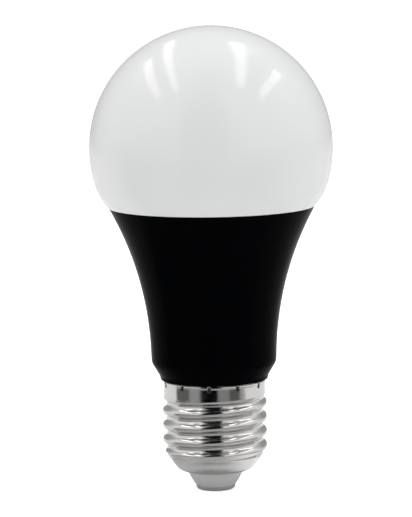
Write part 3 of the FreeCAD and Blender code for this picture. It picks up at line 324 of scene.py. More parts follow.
def bumped(tree, height, depth, under=None):
    """Normal of a surface whose relief is this many microns deep."""
    sockets = {"Height": height, "Strength": 1.0, "Distance": depth * MICRON}
    if under is not None:
        sockets["Normal"] = under
    return node(tree, "ShaderNodeBump", sockets).outputs[0]


def stepped(tree, value, steps):
    """A level that runs through (value, level) steps."""
    low, high = steps[0][0], steps[-1][0]
    ramp = node(tree, "ShaderNodeValToRGB", {0: ranged(tree, value, 0.0, 1.0, low, high)})
    stops = ramp.color_ramp.elements
    stops[0].color = opaque((steps[0][1],) * 3)
    stops[1].color = opaque((steps[-1][1],) * 3)
    for at, level in steps[1:-1]:
        stops.new((at - low) / (high - low)).color = opaque((level,) * 3)
    return ramp.outputs[0]


def shade(colour, share):
    """The same colour, darker or lighter by a share."""
    return tuple(min(1.0, c * (1 + share)) for c in colour)


class Finish:
    """A material whose colour, gloss and relief vary a little over the surface."""

    def __init__(
        self, name, colour, uneven=0.05, patch=0.35, rough=(0.4, 0.5), grain=4.0, depth=2.0, **sockets
    ):
        self.material = bpy.data.materials.new(name)
        self.material.use_nodes = True
        self.material.diffuse_color = opaque(colour)
        self.tree = self.material.node_tree
        self.shader = self.tree.nodes["Principled BSDF"]
        object_place = node(self.tree, "ShaderNodeTexCoord").outputs["Object"]
        self.mm = stretched(self.tree, object_place, (1 / MM,) * 3)
        patches = noise(self.tree, self.mm, patch, 3.0)
        fine_grain = noise(self.tree, self.mm, grain, 3.0)
        self.colour = blended(self.tree, patches, shade(colour, -uneven), shade(colour, uneven))
        self.link("Base Color", self.colour)
        self.rough = ranged(self.tree, patches, *rough)
        self.link("Roughness", self.rough)
        self.normal = bumped(self.tree, fine_grain, depth)
        self.link("Normal", self.normal)
        for key, value in sockets.items():
            self.shader.inputs[key.replace("_", " ")].default_value = value

    def link(self, socket, value):
        """Feeds one of the shader's sockets."""
        self.tree.links.new(value, self.shader.inputs[socket])

    def relief(self, height, depth):
        """Adds relief over what is there."""
        self.normal = bumped(self.tree, height, depth, self.normal)
        self.link("Normal", self.normal)

    def paint(self, factor, colour):
        """Paints a colour where the factor is 1."""
        self.colour = blended(self.tree, factor, self.colour, colour)
        self.link("Base Color", self.colour)

    def maths(self, operation, a, b=0.0):
        """One sum on two values."""
        return maths(self.tree, operation, a, b)

    def streaks(self, stretch, detail):
        """Noise with this many features to the millimetre along each axis."""
        return noise(self.tree, stretched(self.tree, self.mm, stretch), 1.0, detail)

    def axis(self, name, centre=(0, 0, 0)):
        """One coordinate in millimetres, measured from a centre."""
        moved = stretched(self.tree, self.mm, (1, 1, 1), centre)
        return node(self.tree, "ShaderNodeSeparateXYZ", {0: moved}).outputs[name]

    def from_axis(self, centre):
        """Distance from an upright line through a centre."""
        flat = stretched(self.tree, self.mm, (1, 1, 0), centre)
        return node(self.tree, "ShaderNodeVectorMath", {0: flat}, operation="LENGTH").outputs["Value"]

    def above(self, value, edge, soft=0.04):
        """1 where a value is over an edge, 0 under it."""
        return ranged(self.tree, value, 0.0, 1.0, edge - soft, edge + soft)

    def below(self, value, edge, soft=0.04):
        """1 where a value is under an edge, 0 over it."""
        return ranged(self.tree, value, 1.0, 0.0, edge - soft, edge + soft)

    def both(self, a, b):
        """1 where both factors are 1."""
        return self.maths("MULTIPLY", a, b)

    def either(self, a, b):
        """1 where one of two factors is 1."""
        return self.maths("MAXIMUM", a, b)


def finish(material, *names):
    """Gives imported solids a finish."""
    for name in names:
        for slot in SOLIDS[name].material_slots:
            slot.material = material


# Modelling


def pick(*pieces):
    """Selects these pieces alone, with the first one active."""
    bpy.ops.object.select_all(action="DESELECT")
    for piece in pieces:
        piece.select_set(True)
    bpy.context.view_layer.objects.active = pieces[0]


def named(name):
    """Names the active piece and its mesh."""
    piece = bpy.context.object
    piece.name = name
    piece.data.name = name
    return piece


def start_mesh(name, segments, radius, height):
    """A ring of edges about the Z axis, open for editing, in millimetres."""
    bpy.ops.object.select_all(action="DESELECT")
    bpy.ops.mesh.primitive_circle_add(vertices=segments, radius=radius * MM, location=(0, 0, height * MM))
    piece = named(name)
    bpy.ops.object.transform_apply(location=True, rotation=True, scale=True)
    bpy.ops.object.mode_set(mode="EDIT")
    bpy.ops.mesh.select_mode(type="VERT")
    bpy.ops.mesh.select_all(action="SELECT")
    return piece


def lathe(name, profile, segments, closed=False):
    """Draws a ring up through (radius, height) steps, then caps both ends or joins them."""
    radius, height = profile[0]
    piece = start_mesh(name, segments, radius, height)
    for next_radius, next_height in profile[1:]:
        rise = {"value": (0, 0, (next_height - height) * MM)}
        bpy.ops.mesh.extrude_region_move(TRANSFORM_OT_translate=rise)
        share = next_radius / radius
        bpy.ops.transform.resize(value=(share, share, 1), center_override=(0, 0, next_height * MM))
        radius, height = next_radius, next_height
    bpy.ops.mesh.select_all(action="SELECT")
    if closed:
        bpy.ops.mesh.select_mode(type="EDGE")
        bpy.ops.mesh.select_all(action="DESELECT")
        bpy.ops.mesh.select_non_manifold()
        bpy.ops.mesh.bridge_edge_loops()
    else:
        bpy.ops.mesh.fill_holes(sides=0)
    bpy.ops.mesh.select_all(action="SELECT")
    bpy.ops.mesh.normals_make_consistent(inside=False)
    bpy.ops.object.mode_set(mode="OBJECT")
    return piece


def smooth(piece, degrees=50):
    """Rounds the shading over all but sharp edges."""
    pick(piece)
    bpy.ops.object.shade_smooth_by_angle(angle=radians(degrees))


def apply_place(piece, place, turn=(0, 0, 0)):
    """Turns a piece about its origin and moves it, all in its mesh."""
    pick(piece)
    piece.rotation_euler = turn
    piece.location = [value * MM for value in place]
    bpy.ops.object.transform_apply(location=True, rotation=True, scale=True)


def copy_of(piece, name):
    """A copy with its own mesh."""
    pick(piece)
    bpy.ops.object.duplicate(linked=False)
    return named(name)


def joined(pieces, name):
    """One piece from several."""
    pick(*pieces)
    bpy.ops.object.join()
    return named(name)


def dress(piece, material, slot, *replaced):
    """Finishes a new piece and lets it ride with the bulb."""
    piece.data.materials.clear()
    piece.data.materials.append(material)
    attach(piece, "root")
    if replaced:
        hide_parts(*replaced)


def bevelled(piece, width):
    """Rounds all sharp edges by a modifier that is applied at once."""
    pick(piece)
    bevel = piece.modifiers.new("Edges", "BEVEL")
    bevel.width = width * MM
    bevel.segments = 2
    bevel.limit_method = "ANGLE"
    bpy.ops.object.modifier_apply(modifier=bevel.name)


def block(name, size, place):
    """A block of this size about a place, with its scale in its mesh."""
    bpy.ops.object.select_all(action="DESELECT")
    bpy.ops.mesh.primitive_cube_add(size=MM, location=[value * MM for value in place])
    piece = named(name)
    piece.scale = size
    bpy.ops.object.transform_apply(location=True, rotation=True, scale=True)
    return piece


class BulbOperator:
    """What every operator here shares."""

    bl_options = {"REGISTER", "UNDO"}


class BULB_OT_globe(BulbOperator, Operator):
    """Finishes the opal globe and the silicone bead under its lip"""

    bl_idname = "led_bulb.globe"
    bl_label = "Opal Globe"

    def execute(self, context):
        settings = context.scene.bulb_globe
        rough = settings.roughness
        opal = Finish(
            "satin opal polycarbonate", settings.colour, uneven=0.008, patch=0.06, grain=5.0, depth=1.2,
            rough=(rough - 0.03, rough + 0.03), IOR=1.5, Subsurface_Weight=0.12,
            Subsurface_Scale=settings.depth * MM,
        )
        opal.shader.inputs["Subsurface Radius"].default_value = (1.0, 0.95, 0.9)
        opal.relief(noise(opal.tree, opal.mm, 0.12, 1.0), 12.0)
        finish(opal.material, "diffuser")
        bead = Finish("silicone bead", (0.78, 0.78, 0.75), rough=(0.5, 0.6), grain=1.2, depth=15.0)
        finish(bead.material, "seal_ring")
        return {"FINISHED"}


class BULB_OT_housing(BulbOperator, Operator):
    """Finishes the black housing with its fine moulded grain"""

    bl_idname = "led_bulb.housing"
    bl_label = "Black Housing"

    def execute(self, context):
        settings = context.scene.bulb_housing
        rough = settings.roughness
        black = Finish(
            "black moulded plastic", settings.colour, uneven=0.2, patch=0.08, grain=7.0, depth=3.0,
            rough=(rough - 0.05, rough + 0.05), IOR=1.5, Specular_IOR_Level=settings.gloss,
        )
        sockets = {"Vector": black.mm, "Scale": 4.0}
        cells = node(black.tree, "ShaderNodeTexVoronoi", sockets, feature="SMOOTH_F1")
        black.relief(cells.outputs["Distance"], 2.0)
        finish(black.material, "housing")
        return {"FINISHED"}


class BULB_OT_cap(BulbOperator, Operator):
    """Finishes the plated screw shell, the base insulator and the centre contact"""

    bl_idname = "led_bulb.cap"
    bl_label = "Screw Cap"

    def execute(self, context):
        settings = context.scene.bulb_cap
        rough = settings.roughness
        nickel = Finish(
            "nickel plating", settings.nickel, uneven=0.03, patch=0.25, rough=(rough - 0.04, rough + 0.06),
            grain=1.1, depth=0.5, Metallic=1.0,
        )
        nickel.relief(nickel.streaks((0.12, 0.12, 9.0), 4.0), 0.2)
        painted_shade_marks = self.stake_marks(nickel)
        # Painted shade: each stake dent and the streak above it are darkened in the plating's colour.
        nickel.paint(painted_shade_marks, shade(settings.nickel, STAKE_PAINTED_SHADE))
        dull = nickel.maths("MULTIPLY", painted_shade_marks, STAKE_ROUGHNESS)
        nickel.link("Roughness", nickel.either(nickel.rough, dull))
        finish(nickel.material, "screw_shell")
        cone = Finish("base insulator", settings.insulator, uneven=0.03, rough=(0.32, 0.42), grain=5.0)
        finish(cone.material, "base_insulator")
        contact = Finish(
            "pressed contact", settings.contact, uneven=0.08, patch=0.8, rough=(0.28, 0.4), grain=6.0,
            depth=1.5, Metallic=1.0,
        )
        rings = node(
            contact.tree, "ShaderNodeTexWave", {"Vector": contact.mm, "Scale": 0.5, "Distortion": 0.6},
            wave_type="RINGS", rings_direction="Z",
        )
        contact.relief(rings.outputs["Fac"], 4.0)
        finish(contact.material, "centre_contact")
        return {"FINISHED"}

    def stake_marks(self, nickel):
        """1 in the stakes that fix the shell to the neck, which get painted shade and a duller plating that
        mirrors little.
        """
        half_step = pi / STAKE_COUNT
        turn = nickel.maths("ARCTAN2", nickel.axis("Y"), nickel.axis("X"))
        off_mark = nickel.maths("SUBTRACT", turn, radians(FIRST_STAKE_ANGLE))
        limits = {0: off_mark, 1: half_step, 2: -half_step}
        wrapped = node(nickel.tree, "ShaderNodeMath", limits, operation="WRAP").outputs[0]
        aside = nickel.maths("MULTIPLY", wrapped, STAKE_RADIUS)
        height = nickel.axis("Z", (0, 0, STAKE_HEIGHT))
        below = nickel.maths("MINIMUM", height, 0.0)
        across_squared = nickel.maths("MULTIPLY", aside, aside)
        square = nickel.maths("ADD", across_squared, nickel.maths("MULTIPLY", below, below))
        narrowing = nickel.maths("MULTIPLY", nickel.maths("MAXIMUM", height, 0.0), STAKE_TAPER)
        distance = nickel.maths("ADD", nickel.maths("SQRT", square), narrowing)
        return nickel.below(distance, STAKE_SIZE, STAKE_BLUR)


class BULB_OT_heat_sink(BulbOperator, Operator):
    """Finishes the drawn aluminium cup and the screws in it"""

    bl_idname = "led_bulb.heat_sink"
    bl_label = "Heat Sink and Screws"

    def execute(self, context):
        sink = Finish(
            "drawn aluminium", (0.74, 0.75, 0.76), uneven=0.04, patch=0.2, rough=(0.3, 0.42), grain=2.0,
            depth=1.5, Metallic=1.0,
        )
        sink.relief(sink.streaks((3.0, 3.0, 0.08), 3.0), 3.0)
        finish(sink.material, "heat_sink")
        steel = Finish(
            "zinc plated steel", (0.6, 0.61, 0.62), uneven=0.06, patch=1.0, rough=(0.24, 0.36), grain=6.0,
            depth=1.5, Metallic=1.0,
        )
        finish(steel.material, "board_screws")
        return {"FINISHED"}


class BULB_OT_led_board(BulbOperator, Operator):
    """Finishes the LED board and models the phosphor domes and the solder at each package"""

    bl_idname = "led_bulb.led_board"
    bl_label = "LED Board"

    def execute(self, context):
        settings = context.scene.bulb_leds
        mask = Finish(
            "white solder mask", settings.board, uneven=0.012, patch=0.4, rough=(0.3, 0.4), depth=1.0
        )
        low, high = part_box("led_package_01")
        middle = (low + high) / 2 / MM
        led_ring_r = hypot(middle.x, middle.y)
        off_ring = mask.maths("ABSOLUTE", mask.maths("SUBTRACT", mask.from_axis((0, 0, 0)), led_ring_r))
        on_top = mask.above(mask.axis("Z"), LED_BOARD_TOP - 0.1)
        mask.relief(mask.both(mask.below(off_ring, TRACK_HALF, 0.08), on_top), 35.0)
        core_metal = mask.below(mask.axis("Z"), LED_BOARD_TOP - 0.2)
        mask.paint(core_metal, (0.62, 0.63, 0.64))
        mask.link("Metallic", core_metal)
        finish(mask.material, "led_board")

        resin_body = Finish("white led package", (0.8, 0.79, 0.74), uneven=0.02, rough=(0.4, 0.5), depth=1.0)
        packages = [f"led_package_{number:02d}" for number in range(1, LED_COUNT + 1)]
        finish(resin_body.material, *packages)
        ivory = Finish("ivory nylon", (0.8, 0.77, 0.68), uneven=0.03, rough=(0.4, 0.5), depth=2.0)
        finish(ivory.material, "led_socket")
        tinned = Finish(
            "tinned wire", TIN, uneven=0.05, patch=1.5, rough=(0.2, 0.32), depth=1.0, Metallic=1.0
        )
        finish(tinned.material, "output_pins", "inductor_pins")
        black = Finish("black nylon", (0.012, 0.012, 0.014), uneven=0.1, rough=(0.4, 0.5), depth=2.0)
        finish(black.material, "pin_block", "inductor_bobbin")

        phosphor = Finish(
            "phosphor resin", settings.phosphor, uneven=0.06, patch=3.0, rough=(0.18, 0.26), grain=12.0,
            depth=1.5,
        )
        radius = settings.window_r
        dome = [(radius * 0.845, -0.115), (radius, 0.0), (radius * 0.8, settings.dome * 0.6)]
        dome += [(radius * 0.5, settings.dome * 0.92), (radius * 0.2, settings.dome)]
        first = lathe("phosphor_dome_01", dome, 40)
        smooth(first)
        apply_place(first, (led_ring_r, 0, PACKAGE_TOP))
        fillet = block("led_solder", FILLET_SIZE, (FILLET_SIZE[0] / 2, 0, FILLET_SIZE[2] / 2))
        self.slope(fillet)
        bevelled(fillet, 0.05)
        smooth(fillet)
        outer = copy_of(fillet, "led_solder_outer")
        apply_place(outer, (led_ring_r + PACKAGE_HALF, 0, LED_BOARD_TOP))
        apply_place(fillet, (led_ring_r - PACKAGE_HALF, 0, LED_BOARD_TOP), (0, 0, pi))
        pair = joined([fillet, outer], "led_solder")

        domes = [first]
        fillets = [pair]
        step = 2 * pi / LED_COUNT
        for number in range(2, LED_COUNT + 1):
            domes.append(copy_of(first, f"phosphor_dome_{number:02d}"))
            fillets.append(copy_of(pair, f"led_solder_{number:02d}"))
        for index, (made, solder) in enumerate(zip(domes, fillets)):
            turn = (0, 0, radians(FIRST_LED_ANGLE) + index * step)
            apply_place(made, (0, 0, 0), turn)
            apply_place(solder, (0, 0, 0), turn)
        for made in domes:
            dress(made, phosphor.material, "led_resin")
        solder_metal = Finish(
            "led solder", context.scene.bulb_solder.colour, uneven=0.05, patch=2.0, rough=(0.2, 0.34),
            grain=5.0, depth=4.0, Metallic=1.0,
        )
        dress(joined(fillets, "led_solder"), solder_metal.material, "tinned_pin")
        return {"FINISHED"}

    def slope(self, fillet):
        """Lowers the far top edge of a block to the board."""
        pick(fillet)
        for vertex in fillet.data.vertices:
            vertex.select = min(vertex.co.x, vertex.co.z) > FILLET_EDGE * MM
        bpy.ops.object.mode_set(mode="EDIT")
        bpy.ops.mesh.select_mode(type="VERT")
        bpy.ops.transform.translate(value=(0, 0, -FILLET_DROP * MM))
        bpy.ops.object.mode_set(mode="OBJECT")


class BULB_OT_driver_board(BulbOperator, Operator):
    """Finishes the driver board and models the solder joint of every lead"""

    bl_idname = "led_bulb.driver_board"
    bl_label = "Driver Board"

    def execute(self, context):
        settings = context.scene.bulb_solder
        laminate = Finish("paper laminate", (0.33, 0.2, 0.07), uneven=0.08, rough=(0.4, 0.5), depth=1.5)
        back = laminate.above(laminate.axis("Y"), BOARD_BACK - 0.1)
        laminate.paint(back, (0.03, 0.16, 0.05))
        cells = node(
            laminate.tree, "ShaderNodeTexVoronoi", {"Vector": laminate.mm, "Scale": 0.22},
            distance="CHEBYCHEV", feature="DISTANCE_TO_EDGE",
        )
        tracks = laminate.both(back, laminate.above(cells.outputs["Distance"], 0.07, 0.01))
        laminate.paint(tracks, (0.045, 0.24, 0.07))
        laminate.relief(tracks, 30.0)
        sockets = {"Vector": laminate.mm, "Scale": 1.2, "Distortion": 1.0}
        weave = node(laminate.tree, "ShaderNodeTexWave", sockets)
        laminate.relief(weave.outputs["Fac"], 1.5)
        finish(laminate.material, "driver_board")

        metal = Finish(
            "bright solder", settings.colour, uneven=0.06, patch=2.0, rough=(0.14, 0.3), grain=4.0, depth=6.0,
            Metallic=1.0,
        )
        pad = settings.pad_r
        top = settings.height
        profile = [(pad, 0.0), (pad * 0.94, 0.06), (pad * 0.68, top * 0.28), (pad * 0.52, top * 0.56)]
        profile += [(pad * 0.44, top * 0.84), (pad * 0.38, top)]
        first = lathe("board_solder", profile, 24)
        smooth(first)
        joints = [first] + [copy_of(first, f"board_solder_{n}") for n in range(1, len(JOINT_PLACES))]
        for joint, (across, height) in zip(joints, JOINT_PLACES):
            apply_place(joint, (across, BOARD_BACK, height), (-pi / 2, 0, 0))
        dress(joined(joints, "board_solder"), metal.material, "tinned_pin")
        return {"FINISHED"}


class BULB_OT_small_parts(BulbOperator, Operator):
    """Models the chip resistors and the chip capacitor, and finishes the moulded chips"""

    bl_idname = "led_bulb.small_parts"
    bl_label = "Chips on the Driver Board"

    def execute(self, context):
        for name, half_width in MOULDED_CHIPS:
            low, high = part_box(name)
            centre = (low + high) / 2 / MM
            chip = Finish(
                f"moulded epoxy of {name}", (0.02, 0.02, 0.022), uneven=0.1, patch=1.5, rough=(0.45, 0.55),
                grain=8.0, depth=4.0,
            )
            aside = chip.maths("ABSOLUTE", chip.axis("X", (centre.x, 0, 0)))
            legs = chip.above(aside, half_width + 0.02, 0.015)
            chip.paint(legs, TIN)
            chip.link("Metallic", legs)
            finish(chip.material, name)

        ceramic = Finish("white alumina", (0.8, 0.8, 0.78), uneven=0.02, rough=(0.5, 0.6), depth=2.0).material
        coat = Finish("black glaze", (0.015, 0.015, 0.016), uneven=0.1, rough=(0.2, 0.3), depth=1.5).material
        tin = Finish("tinned end", TIN, uneven=0.05, rough=(0.25, 0.35), depth=3.0, Metallic=1.0).material
        tan = Finish("tan ceramic", (0.42, 0.3, 0.18), uneven=0.04, rough=(0.4, 0.5), depth=2.0).material
        resistor = self.end_capped("chip_resistor", CHIP_RESISTOR_SIZE, (ceramic, tin, coat))
        numbers = range(2, len(CHIP_RESISTOR_PLACES) + 1)
        resistors = [resistor] + [copy_of(resistor, f"chip_resistor_{n}") for n in numbers]
        for made, (across, height) in zip(resistors, CHIP_RESISTOR_PLACES):
            apply_place(made, (across, BOARD_BACK, height))
        made = joined(resistors, "chip_resistor_set")
        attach(made, "root")
        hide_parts("chip_resistors")
        capacitor = self.end_capped("chip_capacitor_body", CHIP_CAPACITOR_SIZE, (tan, tin, tan))
        across, height = CHIP_CAPACITOR_PLACE
        apply_place(capacitor, (across, BOARD_BACK, height))
        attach(capacitor, "root")
        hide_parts("chip_capacitor")
        return {"FINISHED"}

    def end_capped(self, name, size, materials):
        """A small ceramic part with a thicker tinned cap at each end, its face towards +Y."""
        width, length, height = size
        proud = 0.03
        piece = block(name, (width, height - proud, length), (0, (height + proud) / 2, 0))
        line = length * 0.34
        bpy.ops.object.mode_set(mode="EDIT")
        for side in (-1, 1):
            bpy.ops.mesh.select_all(action="SELECT")
            bpy.ops.mesh.bisect(plane_co=(0, 0, side * line * MM), plane_no=(0, 0, 1))
        bpy.ops.mesh.select_mode(type="FACE")
        bpy.ops.mesh.select_all(action="DESELECT")
        bpy.ops.object.mode_set(mode="OBJECT")
        for face in piece.data.polygons:
            face.select = abs(face.center.z) > line * MM
        bpy.ops.object.mode_set(mode="EDIT")
        bpy.ops.mesh.extrude_region_move()
        grow = (1 + 2 * proud / width, 1 + 2 * proud / height, 1)
        bpy.ops.transform.resize(value=grow, center_override=(0, (height + proud) / 2 * MM, 0))
        bpy.ops.object.mode_set(mode="OBJECT")
        bevelled(piece, 0.04)
        smooth(piece)
        for material in materials:
            piece.data.materials.append(material)
        top = (height - proud) * MM
        for face in piece.data.polygons:
            if abs(face.center.z) > (line - 0.02) * MM:
                face.material_index = 1
            elif face.center.y > top - 0.05 * MM:
                face.material_index = 2
        return piece


class BULB_OT_coils(BulbOperator, Operator):
    """Models the choke's turns of wire, and finishes the ferrites and the taped winding"""

    bl_idname = "led_bulb.coils"
    bl_label = "Choke and Inductor"

    def execute(self, context):
        settings = context.scene.bulb_coils
        ferrite = Finish(
            "grey ferrite", (0.05, 0.05, 0.055), uneven=0.15, patch=1.2, rough=(0.5, 0.62), grain=5.0,
            depth=8.0,
        )
        finish(ferrite.material, "choke_core", "inductor_core")
        tape = Finish("yellow tape", (0.78, 0.55, 0.04), uneven=0.04, patch=0.4, rough=(0.2, 0.3), depth=2.0)
        tape.relief(tape.streaks((0.1, 0.1, 1.6), 2.0), 25.0)
        finish(tape.material, "inductor_winding")

        copper = Finish(
            "enamelled copper", settings.copper, uneven=0.1, patch=2.0, rough=(0.2, 0.32), grain=6.0,
            depth=1.5, Metallic=1.0, Coat_Weight=0.4, Coat_Roughness=0.15,
        ).material
        low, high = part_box("choke_winding")
        length = (high.y - low.y) / MM
        outer = (high.z - low.z) / 2 / MM
        pitch = length / settings.turns
        steps = settings.turns * TURN_STEPS
        profile = [(CHOKE_INNER_R, 0.0)]
        for k in range(steps + 1):
            along = length * k / steps
            swell = CHOKE_SWELL * (1 - (2 * along / length - 1) ** 2)
            dip = pitch / 2 * (1 - abs(sin(pi * along / pitch)))
            profile.append((outer - CHOKE_SWELL + swell - dip * 0.8, along))
        profile.append((CHOKE_INNER_R, length))
        turns = lathe("choke_turns", profile, 56, closed=True)
        smooth(turns, 60)
        centre = (low + high) / 2 / MM
        apply_place(turns, (centre.x, high.y / MM, centre.z), (pi / 2, 0, 0))
        dress(turns, copper, "copper_wire", "choke_winding")
        return {"FINISHED"}


class BULB_OT_capacitors(BulbOperator, Operator):
    """Finishes the two aluminium cans and the fuse resistor with their leads"""

    bl_idname = "led_bulb.capacitors"
    bl_label = "Capacitors and Fuse Resistor"

    def execute(self, context):
        for name, centre, foot in CANS:
            can = Finish(
                f"sleeve of {name}", (0.012, 0.02, 0.06), uneven=0.08, rough=(0.16, 0.26), grain=3.0, IOR=1.5
            )
            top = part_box(name)[1].z / MM
            radial = can.from_axis(centre)
            disc = can.both(can.below(radial, CAN_END_R), can.above(can.axis("Z"), top - 0.12))
            stripe = can.both(can.above(can.axis("X", centre), 2.6), can.below(can.axis("Y", centre), 2.5))
            can.paint(stripe, (0.45, 0.5, 0.55))
            under_can = can.below(can.axis("Z"), foot - 0.02, 0.02)
            leads = can.either(under_can, can.above(radial, CAN_R, 0.02))
            metal = can.either(disc, leads)
            can.paint(metal, (0.72, 0.72, 0.71))
            can.link("Metallic", metal)
            across = can.maths("ABSOLUTE", can.axis("X", centre))
            along = can.maths("ABSOLUTE", can.axis("Y", centre))
            cross = can.either(can.below(across, 0.18, 0.08), can.below(along, 0.18, 0.08))
            can.relief(can.maths("SUBTRACT", 1.0, can.both(cross, disc)), 60.0)
            finish(can.material, name)

        coat = Finish("grey blue coat", (0.1, 0.24, 0.36), rough=(0.3, 0.4), grain=3.0, depth=6.0)
        ends = coat.maths("ABSOLUTE", coat.axis("Z", FUSE_MIDDLE))
        lead = coat.either(coat.above(ends, FUSE_HALF, 0.02), coat.above(coat.axis("Y"), -0.75, 0.05))
        for height, colour in FUSE_BANDS:
            off_band = coat.maths("ABSOLUTE", coat.axis("Z", (0, 0, FUSE_MIDDLE[2] + height)))
            coat.paint(coat.below(off_band, 0.32, 0.03), colour)
        coat.paint(lead, TIN)
        coat.link("Metallic", lead)
        finish(coat.material, "fuse_resistor")
        return {"FINISHED"}


class BULB_OT_wires(BulbOperator, Operator):
    """Finishes the two insulated wires and their bare ends"""

    bl_idname = "led_bulb.wires"
    bl_label = "Wires"

    def execute(self, context):
        for name, colour, (axis, edge, side) in WIRES:
            rubber = Finish(
                f"insulation of {name}", colour, uneven=0.04, rough=(0.32, 0.42), grain=3.0, depth=4.0
            )
            place = rubber.axis(axis)
            far_end = rubber.above(place, edge) if side > 0 else rubber.below(place, edge)
            in_front = rubber.below(rubber.axis("Y"), 0.55)
            near_board = rubber.both(in_front, rubber.above(rubber.axis("Z"), 13.0))
            bare = rubber.either(far_end, near_board)
            rubber.paint(bare, (0.68, 0.5, 0.36))
            rubber.link("Metallic", bare)
            finish(rubber.material, name)
        return {"FINISHED"}


